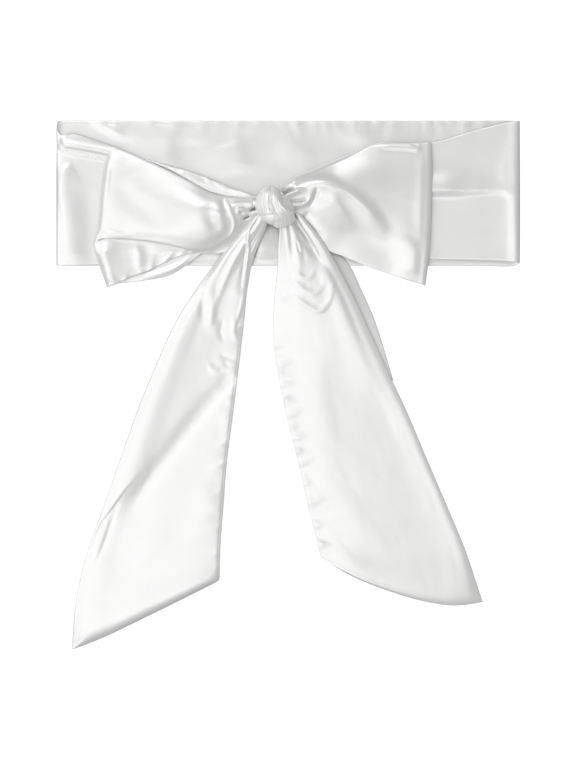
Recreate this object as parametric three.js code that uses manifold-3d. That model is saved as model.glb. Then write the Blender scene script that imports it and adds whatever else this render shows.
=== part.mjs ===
// A white satin sash, 100 mm wide, tied in a bow and laid flat on a surface.
// Millimetres. X runs to the right and Y up the sash as it is laid out, Z is up from the surface.
// The origin is on the surface, at the middle of the outline.
//
// The sash is one long strip of double satin. Each stretch that shows is a wall of cloth of its own:
// the band's back and its two front stretches, the two loops, the knot with its outer wrap, and the two tails.
import * as THREE from "three";
import { mergeVertices } from "three/addons/utils/BufferGeometryUtils.js";
import Module from "manifold-3d";

// Driving sizes
const CLOTH = 1.0; // the wall that stands for the double satin
const SEAM_GAP = 0.3; // between stretches that touch
const BAND_WIDTH = 100; // the strip's width
const BAND_BOTTOM = 82.5; // Y of the band's lower edge
const BAND_TOP = BAND_BOTTOM + BAND_WIDTH;
const BAND_HALF = 156.1; // half the flat back stretch, without the turned ends
const KNOT = { x: -7.6, y: 122.2, z: 11.8, along: 16.2, across: 13.2, high: 11.6, turn: -24 };
const KNOT_FOOT = CLOTH + SEAM_GAP;
const WRAP = { turn: -54, tilt: 4, reach: 74, half: 6.6 };

const satin = (shade) =>
  new THREE.MeshStandardMaterial({ color: new THREE.Color(shade, shade, shade * 0.995), roughness: 0.35, metalness: 0 });
const OUTER_SATIN = satin(0.86);
const SHADED_SATIN = satin(0.8);

// The cloth's middle surface, as nets: a row for each section, and in it a point for each named line along the cloth.
// The rows of a stretch with a turned end begin under the turn. steps is how finely the span after a row is cut.
const FRONT_LEFT = [
  { steps: 2, top: [-156.6, 182.2, 0.5], high: [-156.6, 146, 0.5], low: [-156.6, 113, 0.5], foot: [-156.6, 82.6, 0.5] },
  { steps: 2, top: [-159.0, 181.6, 1.5], high: [-159.2, 145, 1.7], low: [-159.2, 113, 1.7], foot: [-159.2, 82.4, 1.7] },
  { steps: 2, top: [-158.2, 173.0, 3.0], high: [-157.6, 144, 3.5], low: [-157.6, 113, 3.6], foot: [-157.8, 82.3, 3.2] },
  { steps: 3, top: [-150, 173.6, 2.8], high: [-151, 143, 3.1], low: [-151, 113, 3.1], foot: [-151, 82.2, 2.6] },
  { steps: 3, top: [-138, 170.8, 2.4], high: [-136, 142, 2.4], low: [-135, 112, 2.4], foot: [-134, 82.8, 2.2] },
  { steps: 2, top: [-120, 164.6, 1.9], high: [-118, 138, 1.9], low: [-116, 110, 1.9], foot: [-114, 83.4, 1.9] },
  { steps: 3, top: [-92, 154.2, 1.9], high: [-90, 132, 1.9], low: [-90, 109, 1.9], foot: [-90, 86, 1.9] },
  { steps: 2, top: [-60, 144.4, 2.0], high: [-60, 128, 2.0], low: [-60, 111, 2.0], foot: [-60, 95, 2.0] },
  { steps: 2, top: [-38, 135.2, 2.5], high: [-37, 127, 2.5], low: [-36, 117, 2.5], foot: [-36, 107.5, 2.5] },
  { steps: 1, top: [-24, 130.2, 3.0], high: [-23, 126, 3.0], low: [-22, 121, 3.0], foot: [-22, 115.5, 3.0] },
  { steps: 1, top: [-14, 127, 3.2], high: [-14, 124.5, 3.2], low: [-14, 122, 3.2], foot: [-14, 119.5, 3.2] },
];
const FRONT_RIGHT = [
  { steps: 2, top: [156.6, 182.2, 0.5], high: [156.6, 148, 0.5], low: [156.6, 115, 0.5], foot: [156.6, 83.4, 0.5] },
  { steps: 2, top: [159.3, 182.0, 1.6], high: [159.5, 148, 1.7], low: [159.5, 115, 1.7], foot: [159.4, 84.4, 1.7] },
  { steps: 2, top: [157.8, 181.6, 3.1], high: [157.4, 148, 3.6], low: [157.6, 115, 3.5], foot: [157.8, 85.6, 3.1] },
  { steps: 3, top: [150, 180.8, 2.8], high: [150, 147, 3.2], low: [151, 115, 3.0], foot: [150, 86, 2.6] },
  { steps: 3, top: [126, 174.8, 2.3], high: [126, 144, 2.5], low: [126, 114, 2.4], foot: [126, 86.2, 2.2] },
  { steps: 3, top: [100, 167.6, 1.9], high: [100, 140, 1.9], low: [100, 113, 1.9], foot: [100, 86.8, 1.9] },
  { steps: 2, top: [62, 166.2, 1.9], high: [62, 141, 1.9], low: [62, 116, 1.9], foot: [62, 90, 1.9] },
  { steps: 2, top: [40, 157.8, 2.1], high: [42, 137, 2.1], low: [43, 117, 2.1], foot: [45, 97, 2.0] },
  { steps: 2, top: [18, 148.8, 2.6], high: [20, 136, 2.6], low: [22, 123, 2.6], foot: [24, 110.5, 2.6] },
  { steps: 1, top: [2, 141, 3.0], high: [5, 134, 3.0], low: [7, 126.5, 3.0], foot: [10, 119.5, 3.0] },
  { steps: 1, top: [-7, 133, 3.2], high: [-6, 130, 3.2], low: [-5, 127, 3.2], foot: [-4, 124, 3.2] },
];
// A loop runs out from the knot as its under layer, turns at its outer end, and comes back as its upper layer.
const LOOP_LEFT = [
  { steps: 1, top: [-14, 125, 5.2], crown: [-14, 123.4, 5.2], ridge: [-14, 121.6, 5.2], fall: [-14, 120.2, 5.2], hem: [-14, 119, 5.2] },
  { steps: 2, top: [-24, 126.6, 5.2], crown: [-24, 123.8, 5.2], ridge: [-24, 119.6, 5.2], fall: [-24.6, 117, 5.2], hem: [-25.4, 114.8, 5.2] },
  { steps: 2, top: [-42, 129, 4.7], crown: [-42, 123.5, 4.7], ridge: [-41.4, 114, 4.7], fall: [-41.4, 109, 4.7], hem: [-41.6, 104.6, 4.7] },
  { steps: 2, top: [-60, 134.6, 4.0], crown: [-60, 124, 4.0], ridge: [-60, 104, 4.0], fall: [-60.4, 96, 4.0], hem: [-61, 88.9, 3.9] },
  { steps: 2, top: [-80, 144.6, 3.7], crown: [-80, 129, 3.7], ridge: [-80, 101, 3.7], fall: [-80, 90, 3.7], hem: [-80, 76.2, 3.6] },
  { steps: 2, top: [-100, 154, 3.6], crown: [-100, 134, 3.6], ridge: [-101, 100.4, 3.6], fall: [-101, 91, 3.6], hem: [-100, 71.8, 3.5] },
  { steps: 2, top: [-117.6, 162.6, 3.8], crown: [-124.1, 140, 4.0], ridge: [-129.5, 100, 3.9], fall: [-128.6, 93, 3.8], hem: [-120.1, 70, 3.5] },
  { steps: 2, top: [-121.3, 165.0, 5.3], crown: [-128.3, 140, 6.4], ridge: [-133.3, 99.6, 6.2], fall: [-132.2, 92, 5.2], hem: [-123.7, 68.4, 4.4] },
  { steps: 2, top: [-119.4, 163.9, 6.7], crown: [-125.6, 140, 8.9], ridge: [-131.4, 101.0, 8.8], fall: [-130.8, 95.6, 6.6], hem: [-121.4, 69.2, 5.4] },
  { steps: 2, top: [-112, 161.0, 8.4], crown: [-115, 138, 12.0], ridge: [-119, 102.2, 11.6], fall: [-118.5, 97.8, 7.4], hem: [-112, 73.4, 5.4] },
  { steps: 3, top: [-95, 154.0, 9.5], crown: [-95, 131, 15.0], ridge: [-98, 101.0, 13.2], fall: [-98, 96.8, 7.0], hem: [-95, 80.0, 5.3] },
  { steps: 2, top: [-72, 142.8, 10.4], crown: [-72, 124, 18.0], ridge: [-76, 97.2, 13.8], fall: [-77, 93.4, 7.0], hem: [-78, 88.0, 5.4] },
  { steps: 2, top: [-54, 132.8, 10.8], crown: [-53, 118, 18.0], ridge: [-56, 95.2, 12.4], fall: [-57.4, 92.4, 7.8], hem: [-58.4, 90.8, 5.8] },
  { steps: 2, top: [-41, 129.8, 10.0], crown: [-41, 119, 13.2], ridge: [-41.4, 105.0, 11.2], fall: [-41.8, 103.0, 8.6], hem: [-42, 101.8, 6.8] },
  { steps: 1, top: [-25, 128.2, 9.8], crown: [-25, 121.6, 12.0], ridge: [-26.4, 116.6, 11.0], fall: [-26.8, 115.2, 10.2], hem: [-27.2, 114.2, 9.2] },
  { steps: 1, top: [-14, 124.5, 9.8], crown: [-14, 122.5, 11.0], ridge: [-14, 121.0, 10.8], fall: [-14, 120.2, 10.4], hem: [-14, 119.4, 9.8] },
];
const LOOP_RIGHT = [
  { steps: 1, top: [-7, 131, 5.2], high: [-6.2, 129, 5.2], middle: [-5.4, 127, 5.2], low: [-4.6, 125, 5.2], hem: [-4, 123.5, 5.2] },
  { steps: 2, top: [2, 137, 5.2], high: [3.6, 133.5, 5.2], middle: [5.2, 129, 5.2], low: [6.8, 124.5, 5.2], hem: [8.4, 120.4, 5.2] },
  { steps: 2, top: [18, 145.6, 5.0], high: [18, 138, 5.0], middle: [18, 129.5, 5.0], low: [18.2, 121, 5.0], hem: [18.6, 112.6, 5.0] },
  { steps: 2, top: [38, 154, 4.3], high: [37.4, 140, 4.3], middle: [36.6, 125, 4.3], low: [36, 110.5, 4.3], hem: [35, 97, 4.2] },
  { steps: 2, top: [60, 164.2, 3.9], high: [58, 144, 3.9], middle: [55, 124, 3.9], low: [52.6, 104, 3.9], hem: [50, 86, 3.8] },
  { steps: 2, top: [75, 165.8, 3.7], high: [75.4, 142, 3.7], middle: [74, 118, 3.7], low: [72, 98, 3.7], hem: [70, 78.2, 3.6] },
  { steps: 2, top: [91.8, 166, 3.8], high: [94.8, 146, 4.0], middle: [94.4, 118, 4.0], low: [93.2, 93, 3.9], hem: [89.8, 70.8, 3.5] },
  { steps: 2, top: [95.6, 167.6, 5.4], high: [98.5, 146, 6.4], middle: [98.0, 118, 6.4], low: [97.2, 92, 5.8], hem: [93.8, 69.2, 4.4] },
  { steps: 2, top: [93.6, 167.2, 7.0], high: [96.0, 146, 9.0], middle: [95.4, 118, 9.0], low: [95.0, 92, 8.0], hem: [91.4, 70.1, 5.6] },
  { steps: 3, top: [84, 167.0, 8.8], high: [85, 144, 11.4], middle: [84, 118, 11.8], low: [84, 94, 11.6], hem: [80, 73.8, 6.2] },
  { steps: 2, top: [62, 166.6, 9.7], high: [63, 143, 11.4], middle: [62, 120, 11.6], low: [62, 100, 10.6], hem: [60, 80.8, 6.8] },
  { steps: 2, top: [42, 157.2, 9.8], high: [42, 140, 11.6], middle: [41, 123, 13.0], low: [40, 107, 10.8], hem: [39, 91.4, 7.2] },
  { steps: 2, top: [24, 149.6, 9.6], high: [24, 139.5, 12.4], middle: [24, 127, 14.2], low: [24, 115, 11.8], hem: [25, 103.8, 8.0] },
  { steps: 2, top: [8, 142.6, 10.0], high: [9.5, 137, 13.2], middle: [11, 130, 13.8], low: [12.5, 122, 11.8], hem: [14, 115.2, 8.6] },
  { steps: 1, top: [-3, 136.4, 10.2], high: [-1, 133, 12.4], middle: [2, 129, 12.8], low: [5, 124.5, 11.6], hem: [8.6, 120.4, 9.4] },
  { steps: 1, top: [-9, 130, 10.2], high: [-8, 128.5, 11.4], middle: [-7, 127, 11.8], low: [-6, 125.5, 11.2], hem: [-5, 124, 10.0] },
];
const UNDER_ROWS = 6; // net rows of a loop that come before its turned end
const TAIL_LEFT = [
  { steps: 1, left: [-19, 119, 7.6], west: [-17.5, 118.6, 8.2], east: [-15.5, 118, 8.2], right: [-13.5, 117.4, 7.6] },
  { steps: 2, left: [-26.4, 110.8, 6.8], west: [-23.6, 110, 8.8], east: [-20, 109, 8.6], right: [-16, 107.6, 5.8] },
  { steps: 2, left: [-38, 98.6, 5.2], west: [-33, 98.2, 8.2], east: [-27, 97.4, 7.4], right: [-21.4, 96.6, 3.8] },
  { steps: 2, left: [-50, 84.6, 3.6], west: [-43, 84, 7.0], east: [-34, 83.4, 6.0], right: [-26, 83, 2.6] },
  { steps: 2, left: [-66, 64, 1.2], west: [-54, 63.4, 5.4], east: [-40, 62.6, 4.4], right: [-28.4, 62, 1.0] },
  { steps: 2, left: [-80, 42, 0.6], west: [-64, 42, 4.2], east: [-46, 42, 3.2], right: [-30.2, 42, 0.6] },
  { steps: 2, left: [-92.4, 13, 0.5], west: [-75, 13, 3.4], east: [-54, 13, 2.4], right: [-34, 13, 0.5] },
  { steps: 2, left: [-104, -19, 0.5], west: [-87, -19, 3.0], east: [-61, -19, 1.8], right: [-38, -19, 0.5] },
  { steps: 2, left: [-117, -55, 0.5], west: [-101, -54, 2.8], east: [-67, -53, 2.2], right: [-42.2, -52, 0.5] },
  { steps: 2, left: [-128.6, -88, 0.5], west: [-112, -87, 2.4], east: [-73, -86, 2.4], right: [-45, -85, 0.5] },
  { steps: 2, left: [-140, -119, 0.5], west: [-118, -115, 1.8], east: [-78, -112, 2.4], right: [-46.6, -109, 0.5] },
  { steps: 2, left: [-146.8, -149, 0.5], west: [-119, -142, 1.6], east: [-81, -132, 2.0], right: [-46.8, -123, 0.5] },
  { steps: 1, left: [-149, -182.5, 0.5], west: [-118, -168.6, 1.2], east: [-82, -151.6, 1.3], right: [-48, -135.8, 0.5] },
];
const TAIL_RIGHT = [
  { steps: 1, left: [-3.5, 118, 6.4], west: [-2.6, 118, 7.0], middle: [-1.6, 118, 7.6], east: [-0.6, 118, 8.2], right: [0.6, 118.4, 8.4] },
  { steps: 2, left: [-5, 107.6, 4.4], west: [-2.4, 108.6, 7.2], middle: [1, 109.8, 8.2], east: [4, 111.4, 8.8], right: [7.2, 113.4, 8.6] },
  { steps: 2, left: [-4, 98, 3.4], west: [1.6, 98.6, 6.8], middle: [8, 99.6, 8.0], east: [14, 100.8, 8.8], right: [19.6, 102.0, 8.6] },
  { steps: 2, left: [-6.6, 86.6, 2.6], west: [2, 86.8, 6.2], middle: [11, 87, 7.2], east: [20.4, 87.6, 7.8], right: [28.6, 88.6, 7.2] },
  { steps: 2, left: [-8.6, 68, 1.0], west: [3.6, 67.6, 5.0], middle: [16, 67, 5.2], east: [28.4, 67.4, 5.6], right: [40, 69, 4.8] },
  { steps: 2, left: [-11, 44, 0.5], west: [4.6, 43.6, 3.2], middle: [20.6, 43.4, 3.0], east: [37.2, 44, 4.0], right: [52.6, 45.6, 3.4] },
  { steps: 2, left: [-8.6, 14, 0.5], west: [9.4, 14, 1.8], middle: [28, 14, 1.6], east: [47.6, 14, 3.0], right: [66, 14.6, 2.4] },
  { steps: 2, left: [-3.4, -16, 0.5], west: [16, -16, 1.6], middle: [36, -16, 1.6], east: [58.6, -16, 2.6], right: [80, -15.6, 1.0] },
  { steps: 2, left: [5.6, -50, 0.5], west: [25, -50, 1.6], middle: [46, -50, 1.8], east: [71, -50, 2.8], right: [95.4, -49.6, 0.5] },
  { steps: 2, left: [13.4, -81, 0.5], west: [34, -82, 1.6], middle: [57, -83, 2.0], east: [84, -83, 2.8], right: [109, -82, 0.5] },
  { steps: 2, left: [18.6, -103, 0.5], west: [41, -109, 1.6], middle: [66, -113, 2.0], east: [94, -114, 2.6], right: [121, -112, 0.5] },
  { steps: 1, left: [22.4, -118.8, 0.5], west: [47.4, -133.4, 1.2], middle: [75, -144.2, 1.4], east: [105, -151.8, 1.6], right: [133.8, -149, 0.5] },
];
const TAIL_RIGHT_PLEAT = [
  { steps: 2, inner: [22, 91, 1.9], outer: [33, 94.4, 1.9] },
  { steps: 2, inner: [29, 80, 1.9], outer: [42.6, 82.6, 1.9] },
  { steps: 2, inner: [38, 63, 0.8], outer: [50.6, 65.4, 0.8] },
  { steps: 2, inner: [48, 43, 0.5], outer: [58.4, 46, 0.5] },
  { steps: 2, inner: [58, 23, 0.5], outer: [65.6, 24.6, 0.5] },
  { steps: 1, inner: [68, 4, 0.5], outer: [72.2, 3.4, 0.5] },
];

// The largest folds. Each is a soft ridge (or, with high below 0, a trough) over a curve in plan: from, via, to.
const FOLDS = {
  front_left: [
    { from: [-157, 169], via: [-146, 170], to: [-126, 163], high: 2.2, half: 4.5 },
    { from: [-158, 152], via: [-150, 150], to: [-157, 136], high: 1.2, half: 4.5 },
  ],
  front_right: [{ from: [98, 134], via: [126, 138], to: [152, 132], high: 1.8, half: 6 }],
  loop_left_upper: [{ from: [-64, 121], via: [-58, 113], to: [-46, 105], high: -2.2, half: 5 }],
  loop_right_upper: [
    { from: [-4, 134], via: [30, 146], to: [66, 104], high: 2.6, half: 6 },
    { from: [22, 132], via: [36, 116], to: [52, 98], high: -2.2, half: 6 },
    { from: [80, 96], via: [85, 88], to: [86, 80], high: 2.2, half: 8 },
  ],
  tail_left: [
    { from: [-23, 112], via: [-40, 84], to: [-54, 44], high: 1.8, half: 4 },
    { from: [-19, 111], via: [-28, 84], to: [-38, 30], high: 1.6, half: 4 },
    { from: [-42, 22], via: [-70, -24], to: [-132, -100], high: -1.6, half: 9 },
  ],
  tail_right: [
    { from: [1, 108], via: [2, 92], to: [12, 76], high: 1.6, half: 4 },
    { from: [9, 104], via: [20, 84], to: [24, 52], high: 1.6, half: 5 },
  ],
};
const PLEATS = 3; // in each front stretch where it is drawn into the knot
const PLEAT_HEIGHT = 0.7;
const PLEAT_START = 0.75; // share of the stretch's length where they begin
const FOLD_STEPS = 12; // straight pieces along a fold's curve

const vector = (p) => new THREE.Vector3(...p);
const smooth = (low, high, value) => THREE.MathUtils.smoothstep(value, low, high);
const splineThrough = (points) => new THREE.CatmullRomCurve3(points, false, "centripetal");

// The shares along a net at which it is cut, from each row's steps.
function cutsAlong(net) {
  const spans = net.length - 1;
  const cuts = [0];
  for (let span = 0; span < spans; span++) {
    for (let step = 1; step <= net[span].steps; step++) {
      cuts.push((span + step / net[span].steps) / spans);
    }
  }
  return cuts;
}

// The points of a net as a grid: one line of points across the cloth at each cut along it.
function gridOf(net, cutsAcrossSpan) {
  const columns = Object.keys(net[0]).filter((name) => name !== "steps");
  const lines = columns.map((name) => splineThrough(net.map((row) => vector(row[name]))));
  const across = (columns.length - 1) * cutsAcrossSpan;
  return cutsAlong(net).map((along) => {
    const section = splineThrough(lines.map((line) => line.getPoint(along)));
    return Array.from({ length: across + 1 }, (_, i) => section.getPoint(i / across));
  });
}

// How high a fold stands over a point in plan: full over its curve, fading to its sides and its ends.
function foldHeight(fold, x, y) {
  const curve = new THREE.QuadraticBezierCurve(
    new THREE.Vector2(...fold.from), new THREE.Vector2(...fold.via), new THREE.Vector2(...fold.to));
  const here = new THREE.Vector2(x, y);
  let best = 0;
  for (let step = 0; step <= FOLD_STEPS; step++) {
    const share = step / FOLD_STEPS;
    const away = curve.getPoint(share).distanceTo(here) / fold.half;
    best = Math.max(best, Math.exp(-away * away) * Math.sqrt(Math.sin(Math.PI * share)));
  }
  return fold.high * best;
}

// Lifts a grid's points by a stretch's folds. Rows under a turned end keep their place.
function folded(grid, folds, firstRow) {
  grid.forEach((line, row) => {
    if (row < firstRow) return;
    const fade = smooth(firstRow, firstRow + 2, row + 1);
    for (const point of line) {
      const lift = folds.reduce((sum, fold) => sum + foldHeight(fold, point.x, point.y), 0);
      point.z = Math.max(point.z + fade * lift, CLOTH / 2);
    }
  });
  return grid;
}

// Pleats that deepen towards the knot, over the last part of a stretch.
function gathered(grid) {
  const lastRow = grid.length - 1;
  grid.forEach((line, row) => {
    const depth = PLEAT_HEIGHT * smooth(PLEAT_START, 0.95, row / lastRow);
    line.forEach((point, i) => {
      point.z += depth * 0.5 * (1 - Math.cos((2 * Math.PI * PLEATS * i) / (line.length - 1)));
    });
  });
  return grid;
}

// The way the cloth faces at one point of a grid.
function facing(grid, row, i) {
  const rows = grid.length - 1;
  const last = grid[0].length - 1;
  const along = grid[Math.min(row + 1, rows)][i].clone().sub(grid[Math.max(row - 1, 0)][i]);
  const across = grid[row][Math.min(i + 1, last)].clone().sub(grid[row][Math.max(i - 1, 0)]);
  return along.cross(across).normalize();
}

// Where cloth lies on the surface its underside is flat: points lower than low go down to it, those over high stay.
const REST = { low: 1.0, high: 3.5, from: BAND_BOTTOM - 3, to: BAND_BOTTOM - 15 };

function onSurface(point) {
  const past = 1 - smooth(REST.to, REST.from, point.y); // how far the cloth is past the band's lower edge
  return point.setZ(point.z * THREE.MathUtils.lerp(1, smooth(REST.low, REST.high, point.z), past));
}

// A closed wall of even thickness with the grid as its middle surface, or with its underside laid on the surface.
function wallOf(grid, thickness = CLOTH, resting = false) {
  const rows = grid.length;
  const wide = grid[0].length;
  const positions = [];
  for (const side of [0.5, -0.5]) {
    grid.forEach((line, row) => line.forEach((point, i) => {
      const skin = point.clone().addScaledVector(facing(grid, row, i), side * thickness);
      skin.z = Math.max(skin.z, 0);
      positions.push(...(resting && side < 0 ? onSurface(skin) : skin).toArray());
    }));
  }
  const under = rows * wide;
  const faces = [];
  const quad = (a, b, c, d) => faces.push(a, b, c, a, c, d);
  const at = (row, i) => row * wide + i;
  for (let row = 0; row < rows - 1; row++) {
    for (let i = 0; i < wide - 1; i++) {
      quad(at(row, i), at(row + 1, i), at(row + 1, i + 1), at(row, i + 1));
      quad(under + at(row, i), under + at(row, i + 1), under + at(row + 1, i + 1), under + at(row + 1, i));
    }
  }
  for (let row = 0; row < rows - 1; row++) {
    const last = wide - 1;
    quad(at(row + 1, 0), at(row, 0), under + at(row, 0), under + at(row + 1, 0));
    quad(at(row, last), at(row + 1, last), under + at(row + 1, last), under + at(row, last));
  }
  for (let i = 0; i < wide - 1; i++) {
    const end = rows - 1;
    quad(at(0, i), at(0, i + 1), under + at(0, i + 1), under + at(0, i));
    quad(at(end, i + 1), at(end, i), under + at(end, i), under + at(end, i + 1));
  }
  return new THREE.BufferGeometry()
    .setAttribute("position", new THREE.Float32BufferAttribute(positions, 3))
    .setIndex(faces);
}

// The knot's surface in a given direction from its middle, moved out by grow.
function knotPoint(direction, grow = 0) {
  const turn = THREE.MathUtils.degToRad(KNOT.turn);
  const spin = new THREE.Vector3(0, 0, 1);
  const local = direction.clone().applyAxisAngle(spin, -turn);
  const lobes = 1 + 0.05 * Math.sin(3 * Math.atan2(local.y, local.x) + 0.6) * (1 - local.z * local.z);
  const out = new THREE.Vector3(local.x * KNOT.along, local.y * KNOT.across, local.z * KNOT.high);
  out.multiplyScalar(lobes).applyAxisAngle(spin, turn);
  out.addScaledVector(direction, grow).add(new THREE.Vector3(KNOT.x, KNOT.y, KNOT.z));
  out.z = Math.max(out.z, KNOT_FOOT - (grow > 0 ? SEAM_GAP : 0));
  return out;
}

function knotGeometry(grow = 0) {
  const ball = new THREE.SphereGeometry(1, 26, 18);
  ball.rotateX(Math.PI / 2);
  const places = ball.getAttribute("position");
  for (let i = 0; i < places.count; i++) {
    const point = knotPoint(new THREE.Vector3().fromBufferAttribute(places, i).normalize(), grow);
    places.setXYZ(i, point.x, point.y, point.z);
  }
  return ball;
}

// The wrap that crosses over the knot, as a wall laid on the knot's surface.
function wrapGrid(grow) {
  const heading = THREE.MathUtils.degToRad(WRAP.turn);
  const ahead = new THREE.Vector3(Math.cos(heading), Math.sin(heading), 0);
  const aside = new THREE.Vector3(-Math.sin(heading), Math.cos(heading), 0);
  const up = new THREE.Vector3(0, 0, 1);
  const rows = 14;
  const wide = 6;
  return Array.from({ length: rows + 1 }, (_, row) => {
    const angle = THREE.MathUtils.degToRad(WRAP.reach * ((2 * row) / rows - 1));
    const narrow = 1 - 0.22 * Math.abs((2 * row) / rows - 1);
    return Array.from({ length: wide + 1 }, (_, i) => {
      const side = ((2 * i) / wide - 1) * narrow;
      const shift = (WRAP.half * side + WRAP.tilt) / KNOT.high;
      const direction = up.clone().multiplyScalar(Math.cos(angle)).addScaledVector(ahead, Math.sin(angle));
      direction.addScaledVector(aside, shift * 0.8).normalize();
      const swell = 0.8 * (1 - side * side);
      return knotPoint(direction, SEAM_GAP + CLOTH / 2 + swell + grow);
    });
  });
}

const wasm = await Module();
wasm.setup();

function solidOf(geometry) {
  const bare = geometry.clone();
  bare.deleteAttribute("normal");
  bare.deleteAttribute("uv");
  const merged = mergeVertices(bare, 1e-4);
  return new wasm.Manifold(new wasm.Mesh({
    numProp: 3,
    vertProperties: merged.attributes.position.array,
    triVerts: new Uint32Array(merged.index.array),
  }));
}

function geometryOf(solid) {
  const { numProp, vertProperties, triVerts } = solid.getMesh();
  const positions = new Float32Array((vertProperties.length / numProp) * 3);
  for (let i = 0; i < positions.length / 3; i++) {
    positions.set(vertProperties.subarray(i * numProp, i * numProp + 3), i * 3);
  }
  return new THREE.BufferGeometry()
    .setAttribute("position", new THREE.BufferAttribute(positions, 3))
    .setIndex(new THREE.BufferAttribute(triVerts, 1));
}

const sash = new THREE.Group();

function addStretch(name, geometry, material = OUTER_SATIN) {
  const mesh = new THREE.Mesh(geometry, material);
  mesh.name = name;
  sash.add(mesh);
}

// The knot fills the room that is cut out of every stretch drawn into it.
const knotRoom = [knotGeometry(SEAM_GAP), wallOf(wrapGrid(0), CLOTH + 2 * SEAM_GAP)].map(solidOf);
const drawnIn = (geometry) => geometryOf(knotRoom.reduce((rest, room) => rest.subtract(room), solidOf(geometry)));

function addBackBand() {
  const slab = new THREE.BoxGeometry(2 * BAND_HALF, BAND_WIDTH, CLOTH, 12, 4, 1);
  slab.translate(0, BAND_BOTTOM + BAND_WIDTH / 2, CLOTH / 2);
  addStretch("back_band", slab, SHADED_SATIN);
}

function addFronts() {
  addStretch("front_left", drawnIn(wallOf(gathered(folded(gridOf(FRONT_LEFT, 4), FOLDS.front_left, 5)))));
  const right = gathered(folded(gridOf(FRONT_RIGHT, 4), FOLDS.front_right, 5));
  addStretch("front_right", drawnIn(wallOf(right.map((line) => line.reverse()))));
}

// A loop's two layers, parted by a seam gap just under its turned end.
function addLoop(side, net, folds) {
  const whole = gridOf(net, 4);
  const turnRow = net.slice(0, UNDER_ROWS).reduce((sum, row) => sum + row.steps, 0);
  const under = whole.slice(0, turnRow + 1).map((line) => line.map((point) => point.clone()));
  const upper = whole.slice(turnRow);
  const backOff = (line, next) => line.forEach((point, i) => {
    point.addScaledVector(next[i].clone().sub(point).normalize(), SEAM_GAP / 2);
  });
  backOff(under.at(-1), under.at(-2));
  backOff(upper[0], upper[1]);
  folded(upper, folds, 4);
  const facingUp = (grid) => (side === "left" ? grid : grid.map((line) => line.reverse()));
  addStretch(`loop_${side}_under`, drawnIn(wallOf(facingUp(under.reverse()))), SHADED_SATIN);
  addStretch(`loop_${side}_upper`, drawnIn(wallOf(facingUp(upper))));
}

function addLoops() {
  addLoop("left", LOOP_LEFT, FOLDS.loop_left_upper);
  addLoop("right", LOOP_RIGHT, FOLDS.loop_right_upper);
}

// The pleat that is folded back under the right tail's edge, grown on all sides by room.
function pleatWall(room) {
  const grid = gridOf(TAIL_RIGHT_PLEAT, 2);
  for (const line of grid) {
    const aside = line.at(-1).clone().sub(line[0]).normalize();
    line[0].addScaledVector(aside, -room);
    line.at(-1).addScaledVector(aside, room);
  }
  const ahead = grid.at(-1)[0].clone().sub(grid.at(-2)[0]).normalize();
  grid.at(-1).forEach((point) => point.addScaledVector(ahead, room));
  return wallOf(grid, CLOTH + 2 * room);
}

function addTails() {
  addStretch("tail_left", drawnIn(wallOf(folded(gridOf(TAIL_LEFT, 5), FOLDS.tail_left, 1), CLOTH, true)));
  const tail = solidOf(drawnIn(wallOf(folded(gridOf(TAIL_RIGHT, 4), FOLDS.tail_right, 1), CLOTH, true)));
  addStretch("tail_right", geometryOf(tail.subtract(solidOf(pleatWall(SEAM_GAP)))));
  addStretch("tail_right_pleat", pleatWall(0), SHADED_SATIN);
}

function addKnot() {
  addStretch("knot", knotGeometry());
  addStretch("knot_wrap", wallOf(wrapGrid(0)));
}

addBackBand();
addFronts();
addLoops();
addTails();
addKnot();

export default sash;
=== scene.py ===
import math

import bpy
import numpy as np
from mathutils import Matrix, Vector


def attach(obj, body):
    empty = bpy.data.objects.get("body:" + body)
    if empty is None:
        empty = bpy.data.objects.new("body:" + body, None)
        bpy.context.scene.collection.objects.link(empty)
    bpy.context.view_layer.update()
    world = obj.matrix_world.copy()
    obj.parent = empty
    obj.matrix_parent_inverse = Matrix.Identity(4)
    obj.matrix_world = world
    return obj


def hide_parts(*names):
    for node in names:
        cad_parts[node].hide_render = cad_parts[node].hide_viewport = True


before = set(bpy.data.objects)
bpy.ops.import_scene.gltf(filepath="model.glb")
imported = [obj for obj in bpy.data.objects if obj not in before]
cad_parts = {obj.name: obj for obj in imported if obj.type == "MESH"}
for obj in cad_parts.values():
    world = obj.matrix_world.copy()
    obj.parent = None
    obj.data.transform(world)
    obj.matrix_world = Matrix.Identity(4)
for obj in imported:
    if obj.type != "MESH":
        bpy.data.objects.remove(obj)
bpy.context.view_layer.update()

# %% [markdown]
# A white satin sash, tied in a bow and laid flat, modelled as cloth.
# The real thing is one long tube of satin: a strip folded lengthwise, sewn along one edge, turned out
# and pressed.
# So one long edge is a smooth fold and the other is a seam, and the seam draws the satin into small puckers.
# Each stretch of the sash is a grid that is laid on a curved sheet, wrinkled, and given its thickness.
# The numbers in the tables are millimetres on the surface it lies on: X to the right, Y up the sash, and
# Z off the surface.

MM = 0.001
CLOTH = 0.8  # thickness of the double satin
LOWEST = CLOTH / 2 + 0.02  # height of the cloth's middle where its underside just clears the surface

# %% [markdown]
# Cloth hangs in smooth curves between a few places that decide its shape.
# So each stretch is given as a net: a row for each section along it, and in a row one point for each line
# of the cloth.
# A centripetal Catmull-Rom curve goes through all of its points without loops or overshoot, which suits
# cloth. First it runs along each line, then across them, and that gives a whole surface.

# %% Curves through points


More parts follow.
